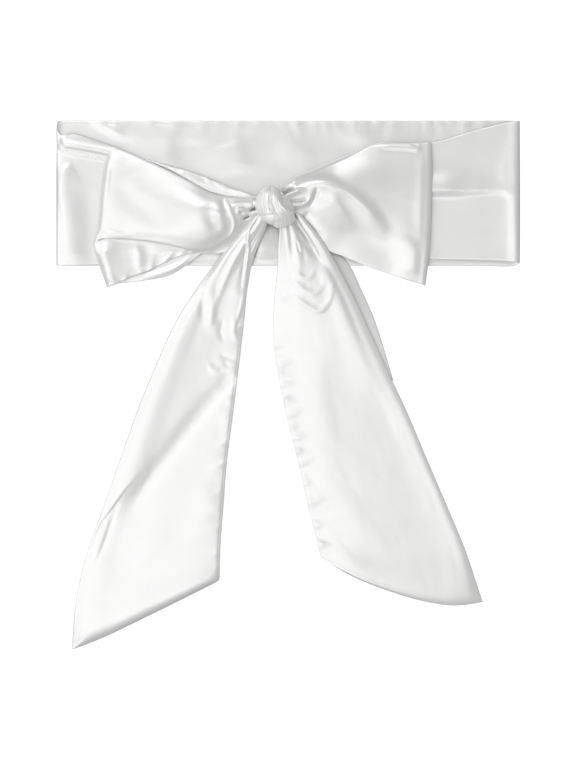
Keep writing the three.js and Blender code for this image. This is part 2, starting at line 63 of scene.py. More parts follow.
def curve_through(points, shares):
    """The places at the given shares, from 0 to 1, of a smooth curve through points. They vary along the
    first axis."""
    points = np.asarray(points, float)
    spans = len(points) - 1
    before = 2 * points[0] - points[1]
    after = 2 * points[-1] - points[-2]
    guide = np.concatenate([before[None], points, after[None]])
    gaps = np.linalg.norm(np.diff(guide, axis=0), axis=-1, keepdims=True)
    knots = np.sqrt(np.maximum(gaps, 1e-6))
    place = np.clip(np.asarray(shares, float) * spans, 0, spans)
    span = np.minimum(place.astype(int), spans - 1)
    t = (place - span).reshape([-1] + [1] * (points.ndim - 1))
    p0, p1, p2, p3 = (guide[span + step] for step in range(4))
    d0, d1, d2 = (knots[span + step] for step in range(3))
    leave = ((p1 - p0) / d0 - (p2 - p0) / (d0 + d1) + (p2 - p1) / d1) * d1
    arrive = ((p2 - p1) / d1 - (p3 - p1) / (d1 + d2) + (p3 - p2) / d2) * d1
    bend = 2 * p1 - 2 * p2 + leave + arrive
    sweep = -3 * p1 + 3 * p2 - 2 * leave - arrive
    return ((bend * t + sweep) * t + leave) * t + p1


def smooth(low, high, value):
    """0 up to low, 1 from high, and a soft step between them."""
    t = np.clip((np.asarray(value, float) - low) / (high - low), 0, 1)
    return t * t * (3 - 2 * t)


# %% Cells along and across the cloth

FINE_STEPS = 40  # steps for each row that measure a line's length
EDGE_LINES = (0.0, 0.2, 0.6, 1.2)  # lines beside an edge, in millimetres from it, for its round
EDGE_BAND = 2.0  # where the even cells begin


def shares_along(points, stretches):
    """Shares that cut a line into cells: each stretch gives the row it ends at, and its number of cells."""
    fine = np.linspace(0, 1, FINE_STEPS * len(points))
    steps = np.linalg.norm(np.diff(curve_through(points, fine), axis=0), axis=-1)
    reached = np.concatenate([[0], np.cumsum(steps)])
    rows = len(points) - 1
    shares = [np.array([0.0])]
    begin = 0
    for row, cells in stretches:
        near, far = np.interp([begin / rows, row / rows], fine, reached)
        shares.append(np.interp(np.linspace(near, far, cells + 1)[1:], reached, fine))
        begin = row
    return np.concatenate(shares)


def shares_across(points, cells):
    """Shares across the cloth: the number of cells between each two of its lines, and narrow cells at both
    edges."""
    lines = len(cells)
    first = np.linalg.norm(points[1] - points[0])
    last = np.linalg.norm(points[-1] - points[-2])
    edge = np.array(EDGE_LINES)
    shares = [edge / first / lines]
    for line, count in enumerate(cells):
        low = EDGE_BAND / first if line == 0 else 0.0
        high = 1 - EDGE_BAND / last if line == lines - 1 else 1.0
        inner = np.linspace(low, high, count + 1)
        shares.append((line + inner[0 if line == 0 else 1:]) / lines)
    shares.append(1 - edge[::-1] / last / lines)
    return np.concatenate(shares)


# %% A sheet: the surface of a net

TURN_SOFT = 4.0  # half the length over which one layer passes into the next


class Sheet:
    """A stretch of cloth: its points in rows, and how far each lies along it and from both of its edges.
    along and across give its cells, and wide_row is the row whose width shares out those across."""

    def __init__(self, net, along, across, wide_row):
        net = np.asarray(net, float)
        middle = net[:, net.shape[1] // 2]
        lines = curve_through(net, shares_along(middle, along))
        places = shares_across(net[wide_row], across)
        self.points = np.moveaxis(curve_through(np.moveaxis(lines, 1, 0), places), 0, 1)
        spine = self.points[:, self.points.shape[1] // 2]
        lengths = np.linalg.norm(np.diff(spine, axis=0), axis=-1)
        self.along = np.concatenate([[0], np.cumsum(lengths)])
        steps = np.linalg.norm(np.diff(self.points, axis=1), axis=-1)
        self.from_first = np.concatenate([np.zeros((len(steps), 1)), np.cumsum(steps, axis=1)], axis=1)
        self.wide = self.from_first[:, -1:]
        self.from_second = self.wide - self.from_first

    @property
    def x(self):
        return self.points[..., 0]

    @property
    def y(self):
        return self.points[..., 1]

    @property
    def z(self):
        return self.points[..., 2]

    def lift(self, heights):
        """Moves the cloth up by these heights, and keeps its underside off the surface."""
        self.points[..., 2] = np.maximum(self.z + heights, LOWEST)

    def from_edge(self, edge):
        """How far each point lies from its first or its second edge."""
        return self.from_first if edge == "first" else self.from_second

    def beyond(self, start):
        """0 up to a length along the cloth, 1 past it, and a soft step between them."""
        return smooth(start - TURN_SOFT, start + TURN_SOFT, self.along)[:, None]


# %% [markdown]
# Satin is stiff for its weight, so it wrinkles in long soft ridges and troughs with a few crisp ones.
# They could be simulated, but a simulation makes its own creases, and these are the ones that show on
# this sash.
# So each is given as a path over the surface, with a height and a width to each side of it.

# %% Folds

FOLD_STEP = 0.8  # millimetres between the places of a fold's path
FOLD_PLACES = 12  # the fewest places on a path
FOLD_REACH = 2.6  # half widths from a path at which its fold has died away
SIDE_SOFT = 0.4  # millimetres over which one side's width passes into the other's


def ridge(high, wide, *path, ends=(0.35, 0.35)):
    """A fold for a table. wide is its half width, or one for its left side and one for its right. ends are
    the shares of its path over which it rises and fades."""
    return dict(path=path, high=high, wide=wide, ends=ends)


def trough(deep, wide, *path, **how):
    """The same as a ridge, but pressed in."""
    return ridge(-deep, wide, *path, **how)


def fold(sheet, path, high, wide, ends):
    """The heights of one fold over its path."""
    path = np.array(path, float)
    left, right = np.broadcast_to(wide, 2)
    long = np.linalg.norm(np.diff(path, axis=0), axis=-1).sum()
    shares = np.linspace(0, 1, max(FOLD_PLACES, int(long / FOLD_STEP)))
    line = curve_through(path, shares)
    heading = np.gradient(line, axis=0)
    heading /= np.linalg.norm(heading, axis=-1, keepdims=True)
    fade = smooth(0, ends[0], shares) * smooth(0, ends[1], 1 - shares)
    reach = FOLD_REACH * max(left, right)
    low, top = line.min(axis=0) - reach, line.max(axis=0) + reach
    near = (sheet.x > low[0]) & (sheet.x < top[0]) & (sheet.y > low[1]) & (sheet.y < top[1])
    dx = sheet.x[near][:, None] - line[:, 0]
    dy = sheet.y[near][:, None] - line[:, 1]
    away = np.hypot(dx, dy)
    closest = away.argmin(axis=1)
    rows = np.arange(len(closest))
    side = heading[closest, 0] * dy[rows, closest] - heading[closest, 1] * dx[rows, closest]
    half = right + (left - right) * smooth(-SIDE_SOFT, SIDE_SOFT, side)
    heights = np.zeros(sheet.x.shape)
    heights[near] = high * fade[closest] * np.exp(-((away[rows, closest] / half) ** 2))
    return heights


def folds(sheet, table):
    """All the folds of a table together."""
    return sum(fold(sheet, **row) for row in table)


# %% Gathers, puckers, tucks and the seam's line

GATHER_WIDE = 60  # width of cloth past which a gather grows no taller
GATHER_FADE = 0.3  # share of its run after which a gather fades
EDGE_FADE = 1.6  # how sharply a pucker ends away from its seam


def gathers(sheet, table):
    """Soft pleats that run out from the knot. at and to are their shares of the width at both ends of their
    run, half their half width in shares, and steep their slope."""
    share = sheet.from_first / sheet.wide
    heights = np.zeros(sheet.x.shape)
    for row in table:
        run = np.clip(sheet.along / row["run"], 0, 1)
        centre = row["at"] + (row["to"] - row["at"]) * run
        fade = 1 - smooth(GATHER_FADE, 1, run)
        away = (share - centre[:, None]) / row["half"]
        tall = row["steep"] * row["half"] * np.minimum(sheet.wide, GATHER_WIDE)
        heights += tall * fade[:, None] * np.exp(-(away**2))
    return heights


def puckers(sheet, edge, start, stop, spacing, depth, reach, seed):
    """Small uneven wrinkles that a seam draws into its edge, from start to stop along the cloth."""
    dice = np.random.default_rng(seed)
    inward = sheet.from_edge(edge)
    heights = np.zeros(sheet.x.shape)
    place = start
    while place < stop:
        tall = depth * dice.uniform(0.3, 1.0)
        deep = reach * dice.uniform(0.4, 1.5)
        wide = spacing * dice.uniform(0.16, 0.3)
        slant = dice.uniform(-0.5, 0.5)
        away = (sheet.along[:, None] - place - slant * inward) / wide
        heights += tall * np.exp(-(away**2) - (inward / deep) ** EDGE_FADE)
        place += spacing * dice.uniform(0.5, 1.5)
    return heights


def tucks(sheet, table):
    """Wrinkles that start outside a seam, are highest at it, and fade out into the cloth."""
    rows = []
    for x, y, across, up, high, wide in table:
        outside = (x - 0.3 * across, y - 0.1 * up)
        inside = (x + 0.4 * across, y + 0.3 * up)
        rows.append(ridge(high, wide, outside, inside, (x + across, y + up), ends=(0.1, 0.75)))
    return folds(sheet, rows)


def groove(sheet, edge, inward, deep=0.14):
    """The faint line where the seam's turned-in cloth ends inside the tube, or a line of stitches lies."""
    half = 0.5
    return -deep * np.exp(-(((sheet.from_edge(edge) - inward) / half) ** 2))


# %% [markdown]
# Satin shines because its threads float over each other, so light slides along them in long soft streaks.
# Two effects make that up: the fine threads, and the slight unevenness of cloth that has been folded
# and handled.
# Both are node groups, so that each stretch can have them in its own strength.

# %% Helpers for nodes


def add_node(tree, kind, sockets=(), **settings):
    """A new node of a tree, with its settings and then the values of its sockets."""
    node = tree.nodes.new(kind)
    for name, value in settings.items():
        setattr(node, name, value)
    for name, value in dict(sockets).items():
        node.inputs[name].default_value = value
    return node


def join(source, output, target, socket):
    """A link from an output of one node to a socket of another."""
    source.id_data.links.new(source.outputs[output], target.inputs[socket])


def effect_group(name, scale, results):
    """A node group that reads a place on the cloth and a scale, and gives out values."""
    tree = bpy.data.node_groups.new(name, "ShaderNodeTree")
    tree.interface.new_socket("Vector", in_out="INPUT", socket_type="NodeSocketVector")
    tree.interface.new_socket(scale, in_out="INPUT", socket_type="NodeSocketFloat")
    for result in results:
        tree.interface.new_socket(result, in_out="OUTPUT", socket_type="NodeSocketFloat")
    return tree, add_node(tree, "NodeGroupInput"), add_node(tree, "NodeGroupOutput")


def long_noise(tree, entry, scale, along, look):
    """A noise that is longer along the cloth than across it."""
    longer = add_node(tree, "ShaderNodeVectorMath", {1: (along, 1.0, 1.0)}, operation="MULTIPLY")
    noise = add_node(tree, "ShaderNodeTexNoise", look, noise_dimensions="2D")
    join(entry, "Vector", longer, 0)
    join(longer, 0, noise, "Vector")
    join(entry, scale, noise, "Scale")
    return noise


# %% The satin's shared effects


def threads_group():
    """Fine threads: a height and a shade that vary along and across the cloth."""
    tree, entry, leave = effect_group("satin_threads", "Threads per metre", ("Height", "Shade"))
    floats = long_noise(tree, entry, "Threads per metre", 0.06, {"Detail": 2.0, "Roughness": 0.6})
    shade = add_node(tree, "ShaderNodeMapRange", {"From Min": 0.3, "From Max": 0.7})
    join(floats, "Fac", leave, "Height")
    join(floats, "Fac", shade, "Value")
    join(shade, 0, leave, "Shade")
    return tree


def ripples_group():
    """Handled cloth: low soft ripples, longer along the cloth than across it."""
    tree, entry, leave = effect_group("satin_ripples", "Size", ("Height",))
    look = {"Detail": 1.5, "Roughness": 0.45, "Distortion": 0.3}
    join(long_noise(tree, entry, "Size", 0.55, look), "Fac", leave, "Height")
    return tree


THREADS = threads_group()
RIPPLES = ripples_group()
print("effects:", THREADS.name, RIPPLES.name)

# %% The satin itself

SATIN_SOCKETS = {
    "IOR": 2.4,
    "Specular IOR Level": 1.0,
    "Anisotropic": 0.4,
    "Sheen Weight": 0.12,
    "Sheen Roughness": 0.4,
}
ROUGH = 0.31
ROUGH_VARIES = 0.03
THREADS_PER_METRE = 2600.0
THREAD_BUMP = {"Strength": 0.12, "Distance": 0.03 * MM}
RIPPLE_HIGH = 0.6 * MM


def satin(name, shade=0.65, ripple=0.35, ripple_size=60.0):
    """White satin. The numbers that are the same all over sit on the shader's own sockets."""
    material = bpy.data.materials.new(name)
    material.use_nodes = True
    tree = material.node_tree
    shader = tree.nodes["Principled BSDF"]
    for socket, value in SATIN_SOCKETS.items():
        shader.inputs[socket].default_value = value
    place = add_node(tree, "ShaderNodeUVMap", uv_map="UVMap")
    threads = add_node(tree, "ShaderNodeGroup", {"Threads per metre": THREADS_PER_METRE}, node_tree=THREADS)
    ripples = add_node(tree, "ShaderNodeGroup", {"Size": ripple_size}, node_tree=RIPPLES)
    join(place, "UV", threads, "Vector")
    join(place, "UV", ripples, "Vector")
    floats = (shade, shade, shade * 0.99, 1)
    between = (shade * 0.97, shade * 0.97, shade * 0.955, 1)
    colour = add_node(tree, "ShaderNodeMix", {"A": floats, "B": between}, data_type="RGBA")
    join(threads, "Shade", colour, "Factor")
    join(colour, "Result", shader, "Base Color")
    range_of_gloss = {"To Min": ROUGH - ROUGH_VARIES, "To Max": ROUGH + ROUGH_VARIES}
    gloss = add_node(tree, "ShaderNodeMapRange", range_of_gloss)
    join(ripples, "Height", gloss, "Value")
    join(gloss, 0, shader, "Roughness")
    soft = add_node(tree, "ShaderNodeBump", {"Strength": ripple, "Distance": RIPPLE_HIGH})
    fine = add_node(tree, "ShaderNodeBump", THREAD_BUMP)
    join(ripples, "Height", soft, "Height")
    join(threads, "Height", fine, "Height")
    join(soft, "Normal", fine, "Normal")
    join(fine, "Normal", shader, "Normal")
    grain = add_node(tree, "ShaderNodeTangent", direction_type="UV_MAP", uv_map="UVMap")
    join(grain, "Tangent", shader, "Tangent")
    return material


SATIN = satin("white_satin")
# The knot's satin is the same cloth with ripples of its own and a lighter colour: painted light that
# brightens the knot.
SATIN_KNOT_PAINTED_LIGHTER = satin("white_satin_painted_lighter", shade=0.74, ripple=0.25, ripple_size=160.0)
print("satins:", SATIN.name, SATIN_KNOT_PAINTED_LIGHTER.name)

# %% [markdown]
# By hand, a stretch of cloth starts as a grid with a cell for each millimetre or so.
# Its corners are laid on the sheet, and Solidify then gives it the thickness of two layers of satin.
# A turned and pressed edge isn't cut square: it thins to a soft round, so a vertex group tells Solidify
# where to be thin.

# %% From a sheet to a piece of cloth

EDGE_FULLNESS = (0.3, 0.62, 0.88)  # share of the thickness on the lines nearest an edge


def thin_at_edges(piece, rows, columns):
    """A vertex group that thins the cloth towards its two long edges."""
    group = piece.vertex_groups.new(name="fullness")
    order = np.arange(rows * columns).reshape(rows, columns)
    group.add(order.ravel().tolist(), 1.0, "REPLACE")
    for step, share in enumerate(EDGE_FULLNESS):
        for line in (order[:, step], order[:, -1 - step]):
            group.add(line.tolist(), share, "REPLACE")


def cloth(name, sheet, material, thick=CLOTH):
    """A grid laid on a sheet, with its thickness, its threads' direction in the UV map, and soft edges."""
    rows, columns = sheet.points.shape[:2]
    bpy.ops.object.select_all(action="DESELECT")
    bpy.ops.mesh.primitive_grid_add(x_subdivisions=columns - 1, y_subdivisions=rows - 1, size=1)
    piece = bpy.context.object
    piece.name = name
    piece.data.name = name
    mesh = piece.data
    mesh.vertices.foreach_set("co", (sheet.points * MM).ravel())
    corner = np.zeros(len(mesh.loops), int)
    mesh.loops.foreach_get("vertex_index", corner)
    centred = (sheet.from_first - sheet.wide / 2).ravel()
    places = np.stack([sheet.along[corner // columns], centred[corner]], axis=-1)
    mesh.uv_layers[0].data.foreach_set("uv", (places * MM).ravel())
    mesh.uv_layers[0].name = "UVMap"
    thin_at_edges(piece, rows, columns)
    wall = piece.modifiers.new("wall", "SOLIDIFY")
    wall.thickness = thick * MM
    wall.offset = 0
    wall.vertex_group = "fullness"
    wall.thickness_vertex_group = 0.0
    bpy.ops.object.modifier_apply(modifier="wall")
    bpy.ops.object.shade_smooth()
    mesh.materials.clear()
    mesh.materials.append(material)
    print(name, "triangles", 2 * len(mesh.polygons), "length", round(sheet.along[-1]), "mm")
    return piece


def settle(piece, *nodes):
    """The piece belongs to the sash, and stands for these solids."""
    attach(piece, "root")
    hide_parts(*nodes)


# %% [markdown]
# The band is the waist loop, folded flat: the back half lies on the surface.
# At each end the cloth turns up and over, and its two front stretches come in over the back and narrow
# to the knot.
# All of it is one sheet, because on the real sash nothing parts it.

# %% The band's net

# top edge, upper line, lower line, bottom edge
FRONT_LEFT = [
    ((-14, 127, 6.6), (-14, 124.5, 5.2), (-14, 122, 3.2), (-14, 119.5, 3.2)),
    ((-24, 130.2, 6.4), (-23, 126, 5), (-22, 121, 3), (-22, 115.5, 3)),
    ((-38, 135.2, 5.9), (-37, 127, 4.2), (-36, 117, 2.5), (-36, 107.5, 2.5)),
    ((-60, 144.4, 4.9), (-60, 128, 3), (-60, 111, 2), (-60, 95, 2)),
    ((-92, 154.2, 3.4), (-90, 132, 2), (-90, 109, 1.9), (-90, 86, 1.9)),
    ((-120, 164.6, 1.9), (-118, 138, 1.9), (-116, 110, 1.9), (-114, 83.4, 1.9)),
    ((-138, 170.8, 2.2), (-136, 142, 2.2), (-135, 112, 2.2), (-134, 82.8, 2)),
    ((-148, 173.6, 2.4), (-148, 143, 2.6), (-148, 113, 3), (-147, 82.2, 3)),
    ((-157.4, 173, 2.2), (-157.2, 144, 2.3), (-157.2, 113, 2.3), (-157.4, 82.3, 2.2)),
    ((-159.2, 181.8, 1.3), (-159.4, 145, 1.3), (-159.4, 113, 1.3), (-159.4, 82.4, 1.3)),
]
BACK = [
    ((x, 182.4, 0.5), (x, 149, 0.5), (x, 115.7, 0.5), (x, 82.3, 0.5))
    for x in (-156.6, -128, -64, 0, 64, 128, 156.6)
]
FRONT_RIGHT = [
    ((159.5, 182, 1.6), (159.7, 148, 1.7), (159.7, 115, 1.7), (159.6, 84.2, 1.7)),
    ((158.2, 181.6, 3), (157.6, 148, 3.6), (157.8, 115, 3.5), (158, 84.6, 3.1)),
    ((150, 180.8, 2.8), (150, 147, 3.2), (151, 115, 3), (150, 85.2, 2.6)),
    ((126, 174.8, 2.3), (126, 144, 2.5), (126, 114, 2.4), (126, 86, 2.2)),
    ((100, 167.6, 1.9), (100, 140, 1.9), (100, 113, 1.9), (100, 86.8, 1.9)),
    ((62, 167, 1.9), (62, 141, 1.9), (62, 116, 1.9), (62, 90, 1.9)),
    ((40, 158.4, 2.3), (42, 137, 2.1), (43, 117, 2.1), (45, 97, 2)),
    ((18, 149.4, 3), (20, 136, 2.6), (22, 123, 2.6), (24, 110.5, 2.6)),
    ((2, 142, 3.4), (5, 134, 3), (7, 126.5, 3), (10, 119.5, 3)),
    ((-7, 133, 3.4), (-6, 130, 3.2), (-5, 127, 3.2), (-4, 124, 3.2)),
]
BAND_ALONG = ((5, 66), (7, 60), (10, 20), (16, 120), (19, 20), (22, 70), (29, 60))  # last row, cells
print("the band's net has", len(FRONT_LEFT + BACK + FRONT_RIGHT), "rows")

# %% The band's folds

FRONT_LEFT_FOLDS = [
    ridge(3, (7, 2.2), (-159, 166.6), (-143.5, 164.2), (-126.3, 160.9), (-116, 158.4), ends=(0.12, 0.07)),
    ridge(0.8, 1, (-158.2, 164.7), (-155.5, 162.2), (-152.1, 160.4), (-143.5, 158.3), (-126.3, 156.1),
          (-116, 155), ends=(0.1, 0.07)),
    ridge(1, (9, 2.8), (-146.6, 153.4), (-151, 150.6), (-155.6, 145), (-156.8, 138), (-155.4, 127.6),
          (-153.6, 115.5), (-152.5, 103), (-152, 80), ends=(0.3, 0.07)),
]
FRONT_LEFT_SEAM = [
    ridge(2.6, (3.2, 6.5), (-8, 126), (-22, 128.2), (-41, 130), (-55, 133.8), (-66, 139.4), (-82, 147.6),
          (-104, 157), ends=(0.05, 0.3)),
    ridge(0.5, 0.8, (-21, 129.2), (-40, 132.6), (-56, 138.4), (-72, 146), ends=(0.07, 0.39)),
    ridge(0.6, (0.7, 0.9), (-24, 130.6), (-42, 135), (-60, 142), (-78, 149.4), ends=(0.1, 0.39)),
    ridge(0.4, (0.6, 0.7), (-44, 136.8), (-58, 142.8), (-74, 149), ends=(0.3, 0.3)),
    ridge(0.5, 0.8, (-52, 135.4), (-66, 142), (-82, 149.4), (-96, 154.6), ends=(0.3, 0.3)),
    ridge(0.9, 0.6, (-28.4, 131), (-25.6, 129.6), (-23, 127)),
    ridge(0.7, (0.6, 0.5), (-32, 132.4), (-29, 131.4), (-26.6, 129.4)),
]
FRONT_RIGHT_FOLDS = [
    ridge(2.2, (11, 2.8), (78, 134), (94, 134.2), (106, 134.2), (115, 133.9), (126, 133.6),
          (144, 133.8), ends=(0.25, 0.6)),
    ridge(0.5, (5, 1.6), (118, 134), (134, 134), (148, 133.4), (156, 128.6), ends=(0.3, 0.3)),
    ridge(0.3, (5, 4), (153, 176), (152, 160), (150, 145), (154, 128), (155, 110), (155.5, 90),
          ends=(0.26, 0.13)),
]
BACK_DENTS = [
    ridge(0.8, (8, 26), (-84, 184), (-84, 162), (-82, 144)),
    ridge(0.3, (8, 16), (-64, 184), (-62, 164)),
    ridge(0.7, (8, 26), (-40, 172), (-31, 144)),
    ridge(0.4, 9, (-6, 172), (6, 160), (22, 156)),
    ridge(0.8, 4.5, (-134, 184), (-122, 175), (-110, 167), ends=(0.13, 0.33)),
    trough(0.8, 4, (-152, 178), (-128, 172), (-104, 163.5)),
    ridge(0.4, 6, (34, 178), (46, 172), (66, 175)),
    ridge(2.2, (13, 3), (-19, 116), (-20, 100), (-19, 82)),
]

# %% The band

FRONT_FROM = 1.5  # the front halves lie above this height, and the back half below it
BACK_TO = 150  # the back half is flat up to this far from the middle
BACK_SEAM_STARTS, BACK_SEAM_STOPS = 190, 160  # from the two ends of the cloth


def make_band():
    band = Sheet(FRONT_LEFT + BACK + FRONT_RIGHT, along=BAND_ALONG, across=(26, 20, 24), wide_row=13)
    left = (band.x < 0) & (band.z > FRONT_FROM)
    right = (band.x > 0) & (band.z > FRONT_FROM)
    back = ~(left | right) & (np.abs(band.x) < BACK_TO)
    back_stop = band.along[-1] - BACK_SEAM_STOPS
    turned = (folds(band, FRONT_LEFT_FOLDS) + folds(band, FRONT_LEFT_SEAM)) * left
    turned += folds(band, FRONT_RIGHT_FOLDS) * right
    seam = puckers(band, "first", start=14, stop=80, spacing=6, depth=0.5, reach=5, seed=3) * left
    back_seam = puckers(band, "first", BACK_SEAM_STARTS, back_stop, spacing=11, depth=0.5, reach=8, seed=5)
    back_seam += groove(band, "first", 1.8)
    hem_lines = groove(band, "second", 3.0, deep=0.25) + groove(band, "second", 4.6, deep=0.2)
    band.lift(turned + seam + (folds(band, BACK_DENTS) + back_seam + hem_lines) * back)
    return cloth("sash_band", band, SATIN)


band = make_band()
settle(band, "back_band", "front_left", "front_right")

# %% [markdown]
# Each loop of the bow leaves the knot, lies out over the band, turns, and comes back puffed up over itself.
# The left one is full: its front rolls over in a crisp lip, with a low facet below it that ends at the seam.
# The right one lies flatter, with one long soft ridge that runs down from the knot to its lower corner.
# The lines of a net may lie close together, so the lip is drawn by two lines that are one under the other.

# %% The left loop's net

LOOP_LEFT_LINES = 8


def straight(top, bottom, high):
    """A row of the left loop's net that runs straight from its top edge to its bottom edge, at one height."""
    shares = np.linspace(0, 1, LOOP_LEFT_LINES)
    return [(top[0] + (bottom[0] - top[0]) * t, top[1] + (bottom[1] - top[1]) * t, high) for t in shares]


# top edge, shoulder, crown, brow, lip, tuck under the lip, facet, seam edge
LOOP_LEFT = [
    straight((-14, 125), (-14, 119), 4.6),
    straight((-24, 126.6), (-25.4, 114.8), 4.6),
    straight((-42, 129), (-41.6, 104.6), 4),
    straight((-60, 134.6), (-61, 89.6), 3.4),
    straight((-80, 144.6), (-80, 76.2), 3.1),
    straight((-100, 154), (-100, 71.8), 3),
    ((-117.6, 162.6, 3.1), (-122, 150, 3.2), (-125, 136, 3.3), (-129, 112, 3.3),
     (-130.4, 104, 3.3), (-130.6, 98, 3.3), (-129, 90, 3.2), (-120.1, 69.4, 3)),
    ((-121.5, 165.2, 3.8), (-125.6, 153, 4), (-128.3, 138, 4.1), (-131.2, 108, 4.2),
     (-133.2, 101.4, 4.2), (-133.9, 98, 4.1), (-132.4, 91, 4), (-124.6, 67.6, 3.6)),
    ((-120.4, 164.4, 4.7), (-123.3, 153, 6.2), (-125.8, 138, 6.9), (-128.8, 107, 7.2),
     (-131.5, 101.9, 6.6), (-132.7, 97.6, 5.2), (-131.2, 91, 5), (-123.3, 67.8, 4.3)),
    ((-117, 163.4, 5.4), (-118.4, 160.2, 6.4), (-121.8, 136, 8), (-124.6, 106, 8.3),
     (-126.2, 101.1, 7.5), (-126.4, 100.9, 6), (-126, 92, 6.6), (-119.6, 68.8, 5.4)),
    ((-108, 159.6, 6.2), (-109.2, 156.8, 7), (-111.6, 134, 9), (-113.6, 105.4, 9.1),
     (-114.2, 100.6, 7.7), (-114.2, 101, 6), (-113.6, 92, 5.7), (-109.4, 73.8, 4.8)),
    ((-94, 153.2, 7), (-95, 150.4, 7.8), (-95, 129, 10.4), (-96.8, 104, 10.3),
     (-97.4, 99.2, 8), (-97.4, 99.8, 6), (-97.2, 92.6, 4.8), (-95.6, 78.8, 4.1)),
    ((-80, 146.6, 7.8), (-80.8, 143.8, 8.6), (-79.8, 125, 11.6), (-80.6, 101, 10.8),
     (-81, 96.2, 8), (-81, 96.6, 6.2), (-81.2, 92.4, 4.5), (-82.4, 85.6, 3.8)),
    ((-66, 139.2, 8.6), (-66.8, 136.6, 9.4), (-65.2, 121, 12.7), (-66.4, 98.8, 10.4),
     (-67, 93.4, 7.4), (-67, 93.6, 6), (-67.2, 92.2, 4.6), (-67.6, 90.6, 3.8)),
    ((-54.6, 133, 8.6), (-55, 130.8, 9.8), (-53.8, 118, 13.4), (-53.4, 99.8, 10.2),
     (-54, 94.3, 6.8), (-54.2, 93.8, 5.6), (-54.6, 92.2, 4.4), (-55.6, 91, 3.8)),
    ((-47.6, 131, 8.7), (-48, 129, 9.9), (-48, 117.6, 13.4), (-46.4, 102.2, 9.6),
     (-47.2, 97.4, 6.6), (-47.2, 96.8, 5.4), (-46.4, 93.8, 4.2), (-45, 91, 3.6)),
    ((-41, 129.8, 8.5), (-41, 127.8, 9.5), (-40.6, 118.6, 11.8), (-37.8, 107.4, 8.8),
     (-38, 103.6, 7), (-37.8, 102.8, 6), (-35.6, 100.4, 4.6), (-33, 97.2, 4)),
    ((-31, 129, 8.4), (-30.6, 126.4, 9.4), (-30, 120.6, 10.7), (-29.6, 115.2, 9.2),
     (-30, 112.6, 8), (-29.4, 111.2, 7.2), (-27, 109, 6), (-24.4, 106.4, 5.4)),
    ((-23, 127.6, 9), (-22.8, 125.6, 9.9), (-22.6, 121.8, 10.4), (-22.6, 118.4, 9.8),
     (-22.6, 117.2, 9.2), (-22, 116, 8.4), (-20.8, 114.6, 7.4), (-19.4, 113, 6.6)),
    ((-14, 124.5, 9.8), (-14, 124, 10.4), (-14, 122, 10.6), (-14, 120.6, 10.2),
     (-14, 120, 9.8), (-13.6, 119.2, 9), (-13, 118.4, 8), (-12.4, 117.6, 7.2)),
]
print("the left loop's net has", len(LOOP_LEFT), "rows")

# %% The left loop's folds

LOOP_LEFT_FOLDS = [
    trough(1.5, (5, 5.5), (-58, 125), (-53, 116), (-49, 108), (-45, 101), ends=(0.45, 0.45)),
    trough(0.5, (2.8, 2.4), (-45.6, 129.6), (-43.4, 118), (-41.8, 107), (-48, 100.6), (-58, 97),
           (-68, 96.6), ends=(0.07, 0.33)),
    ridge(0.6, 1.3, (-44, 129), (-39.4, 119), (-36.8, 111.6), (-38.8, 103.8), (-45, 99.2), (-53, 94.6),
          (-64, 93.4), ends=(0.13, 0.33)),
    ridge(0.4, 2.2, (-124.4, 154), (-124.4, 143), (-126, 124)),
    trough(0.5, 7, (-122, 143), (-112, 132), (-96, 118), (-80, 108)),
    ridge(0.7, (2.4, 2), (-128, 104), (-116, 103), (-104, 102.4), ends=(0.2, 0.52)),
    ridge(0.7, (4, 3), (-104, 98), (-102.6, 88), (-103, 79)),
    ridge(0.6, (1.4, 2.4), (-90, 80), (-84, 86), (-77, 93)),
    ridge(0.8, (4, 2), (-129.4, 94), (-126, 82), (-122, 68), ends=(0.2, 0.07)),
    trough(6, 1.1, (-27.6, 119.2), (-25, 120.4), (-20, 122.2), ends=(0.75, 0.07)),
    ridge(1.5, 1, (-35, 117), (-33.6, 120.6), (-30.6, 120.4), (-28.6, 118.4)),
    trough(1.2, 1, (-33.2, 117.4), (-31.6, 118.6), (-30.4, 117.6)),
    trough(4.5, (1, 0.8), (-33, 114.8), (-30, 114.6), (-26, 116.4), ends=(0.8, 0.07)),
    ridge(0.7, (1.8, 1.4), (-40, 122.6), (-33, 124.4), (-24, 124.2), ends=(0.39, 0.07)),
]
LOOP_LEFT_UNDER_FOLDS = [
    ridge(0.9, (2.4, 1.6), (-106, 72.6), (-92, 75.6), (-80, 80), (-70, 86)),
    ridge(0.7, 1.4, (-84, 77.4), (-74, 82.6), (-66, 90)),
]

# %% The left loop

LOOP_LEFT_TURN = 120.0  # length along the cloth at which the upper layer begins


def make_left_loop():
    loop = Sheet(LOOP_LEFT, along=((6, 46), (9, 16), (15, 150), (19, 76)),
                 across=(14, 22, 40, 12, 8, 10, 22), wide_row=11)
    upper = loop.beyond(LOOP_LEFT_TURN)
    seam = puckers(loop, "second", start=128, stop=208, spacing=12, depth=0.6, reach=6, seed=11)
    over = upper * (folds(loop, LOOP_LEFT_FOLDS) + seam)
    loop.lift(over + (1 - upper) * folds(loop, LOOP_LEFT_UNDER_FOLDS))
    return cloth("left_loop", loop, SATIN)


left_loop = make_left_loop()
settle(left_loop, "loop_left_under", "loop_left_upper")

# %% The right loop's net and folds

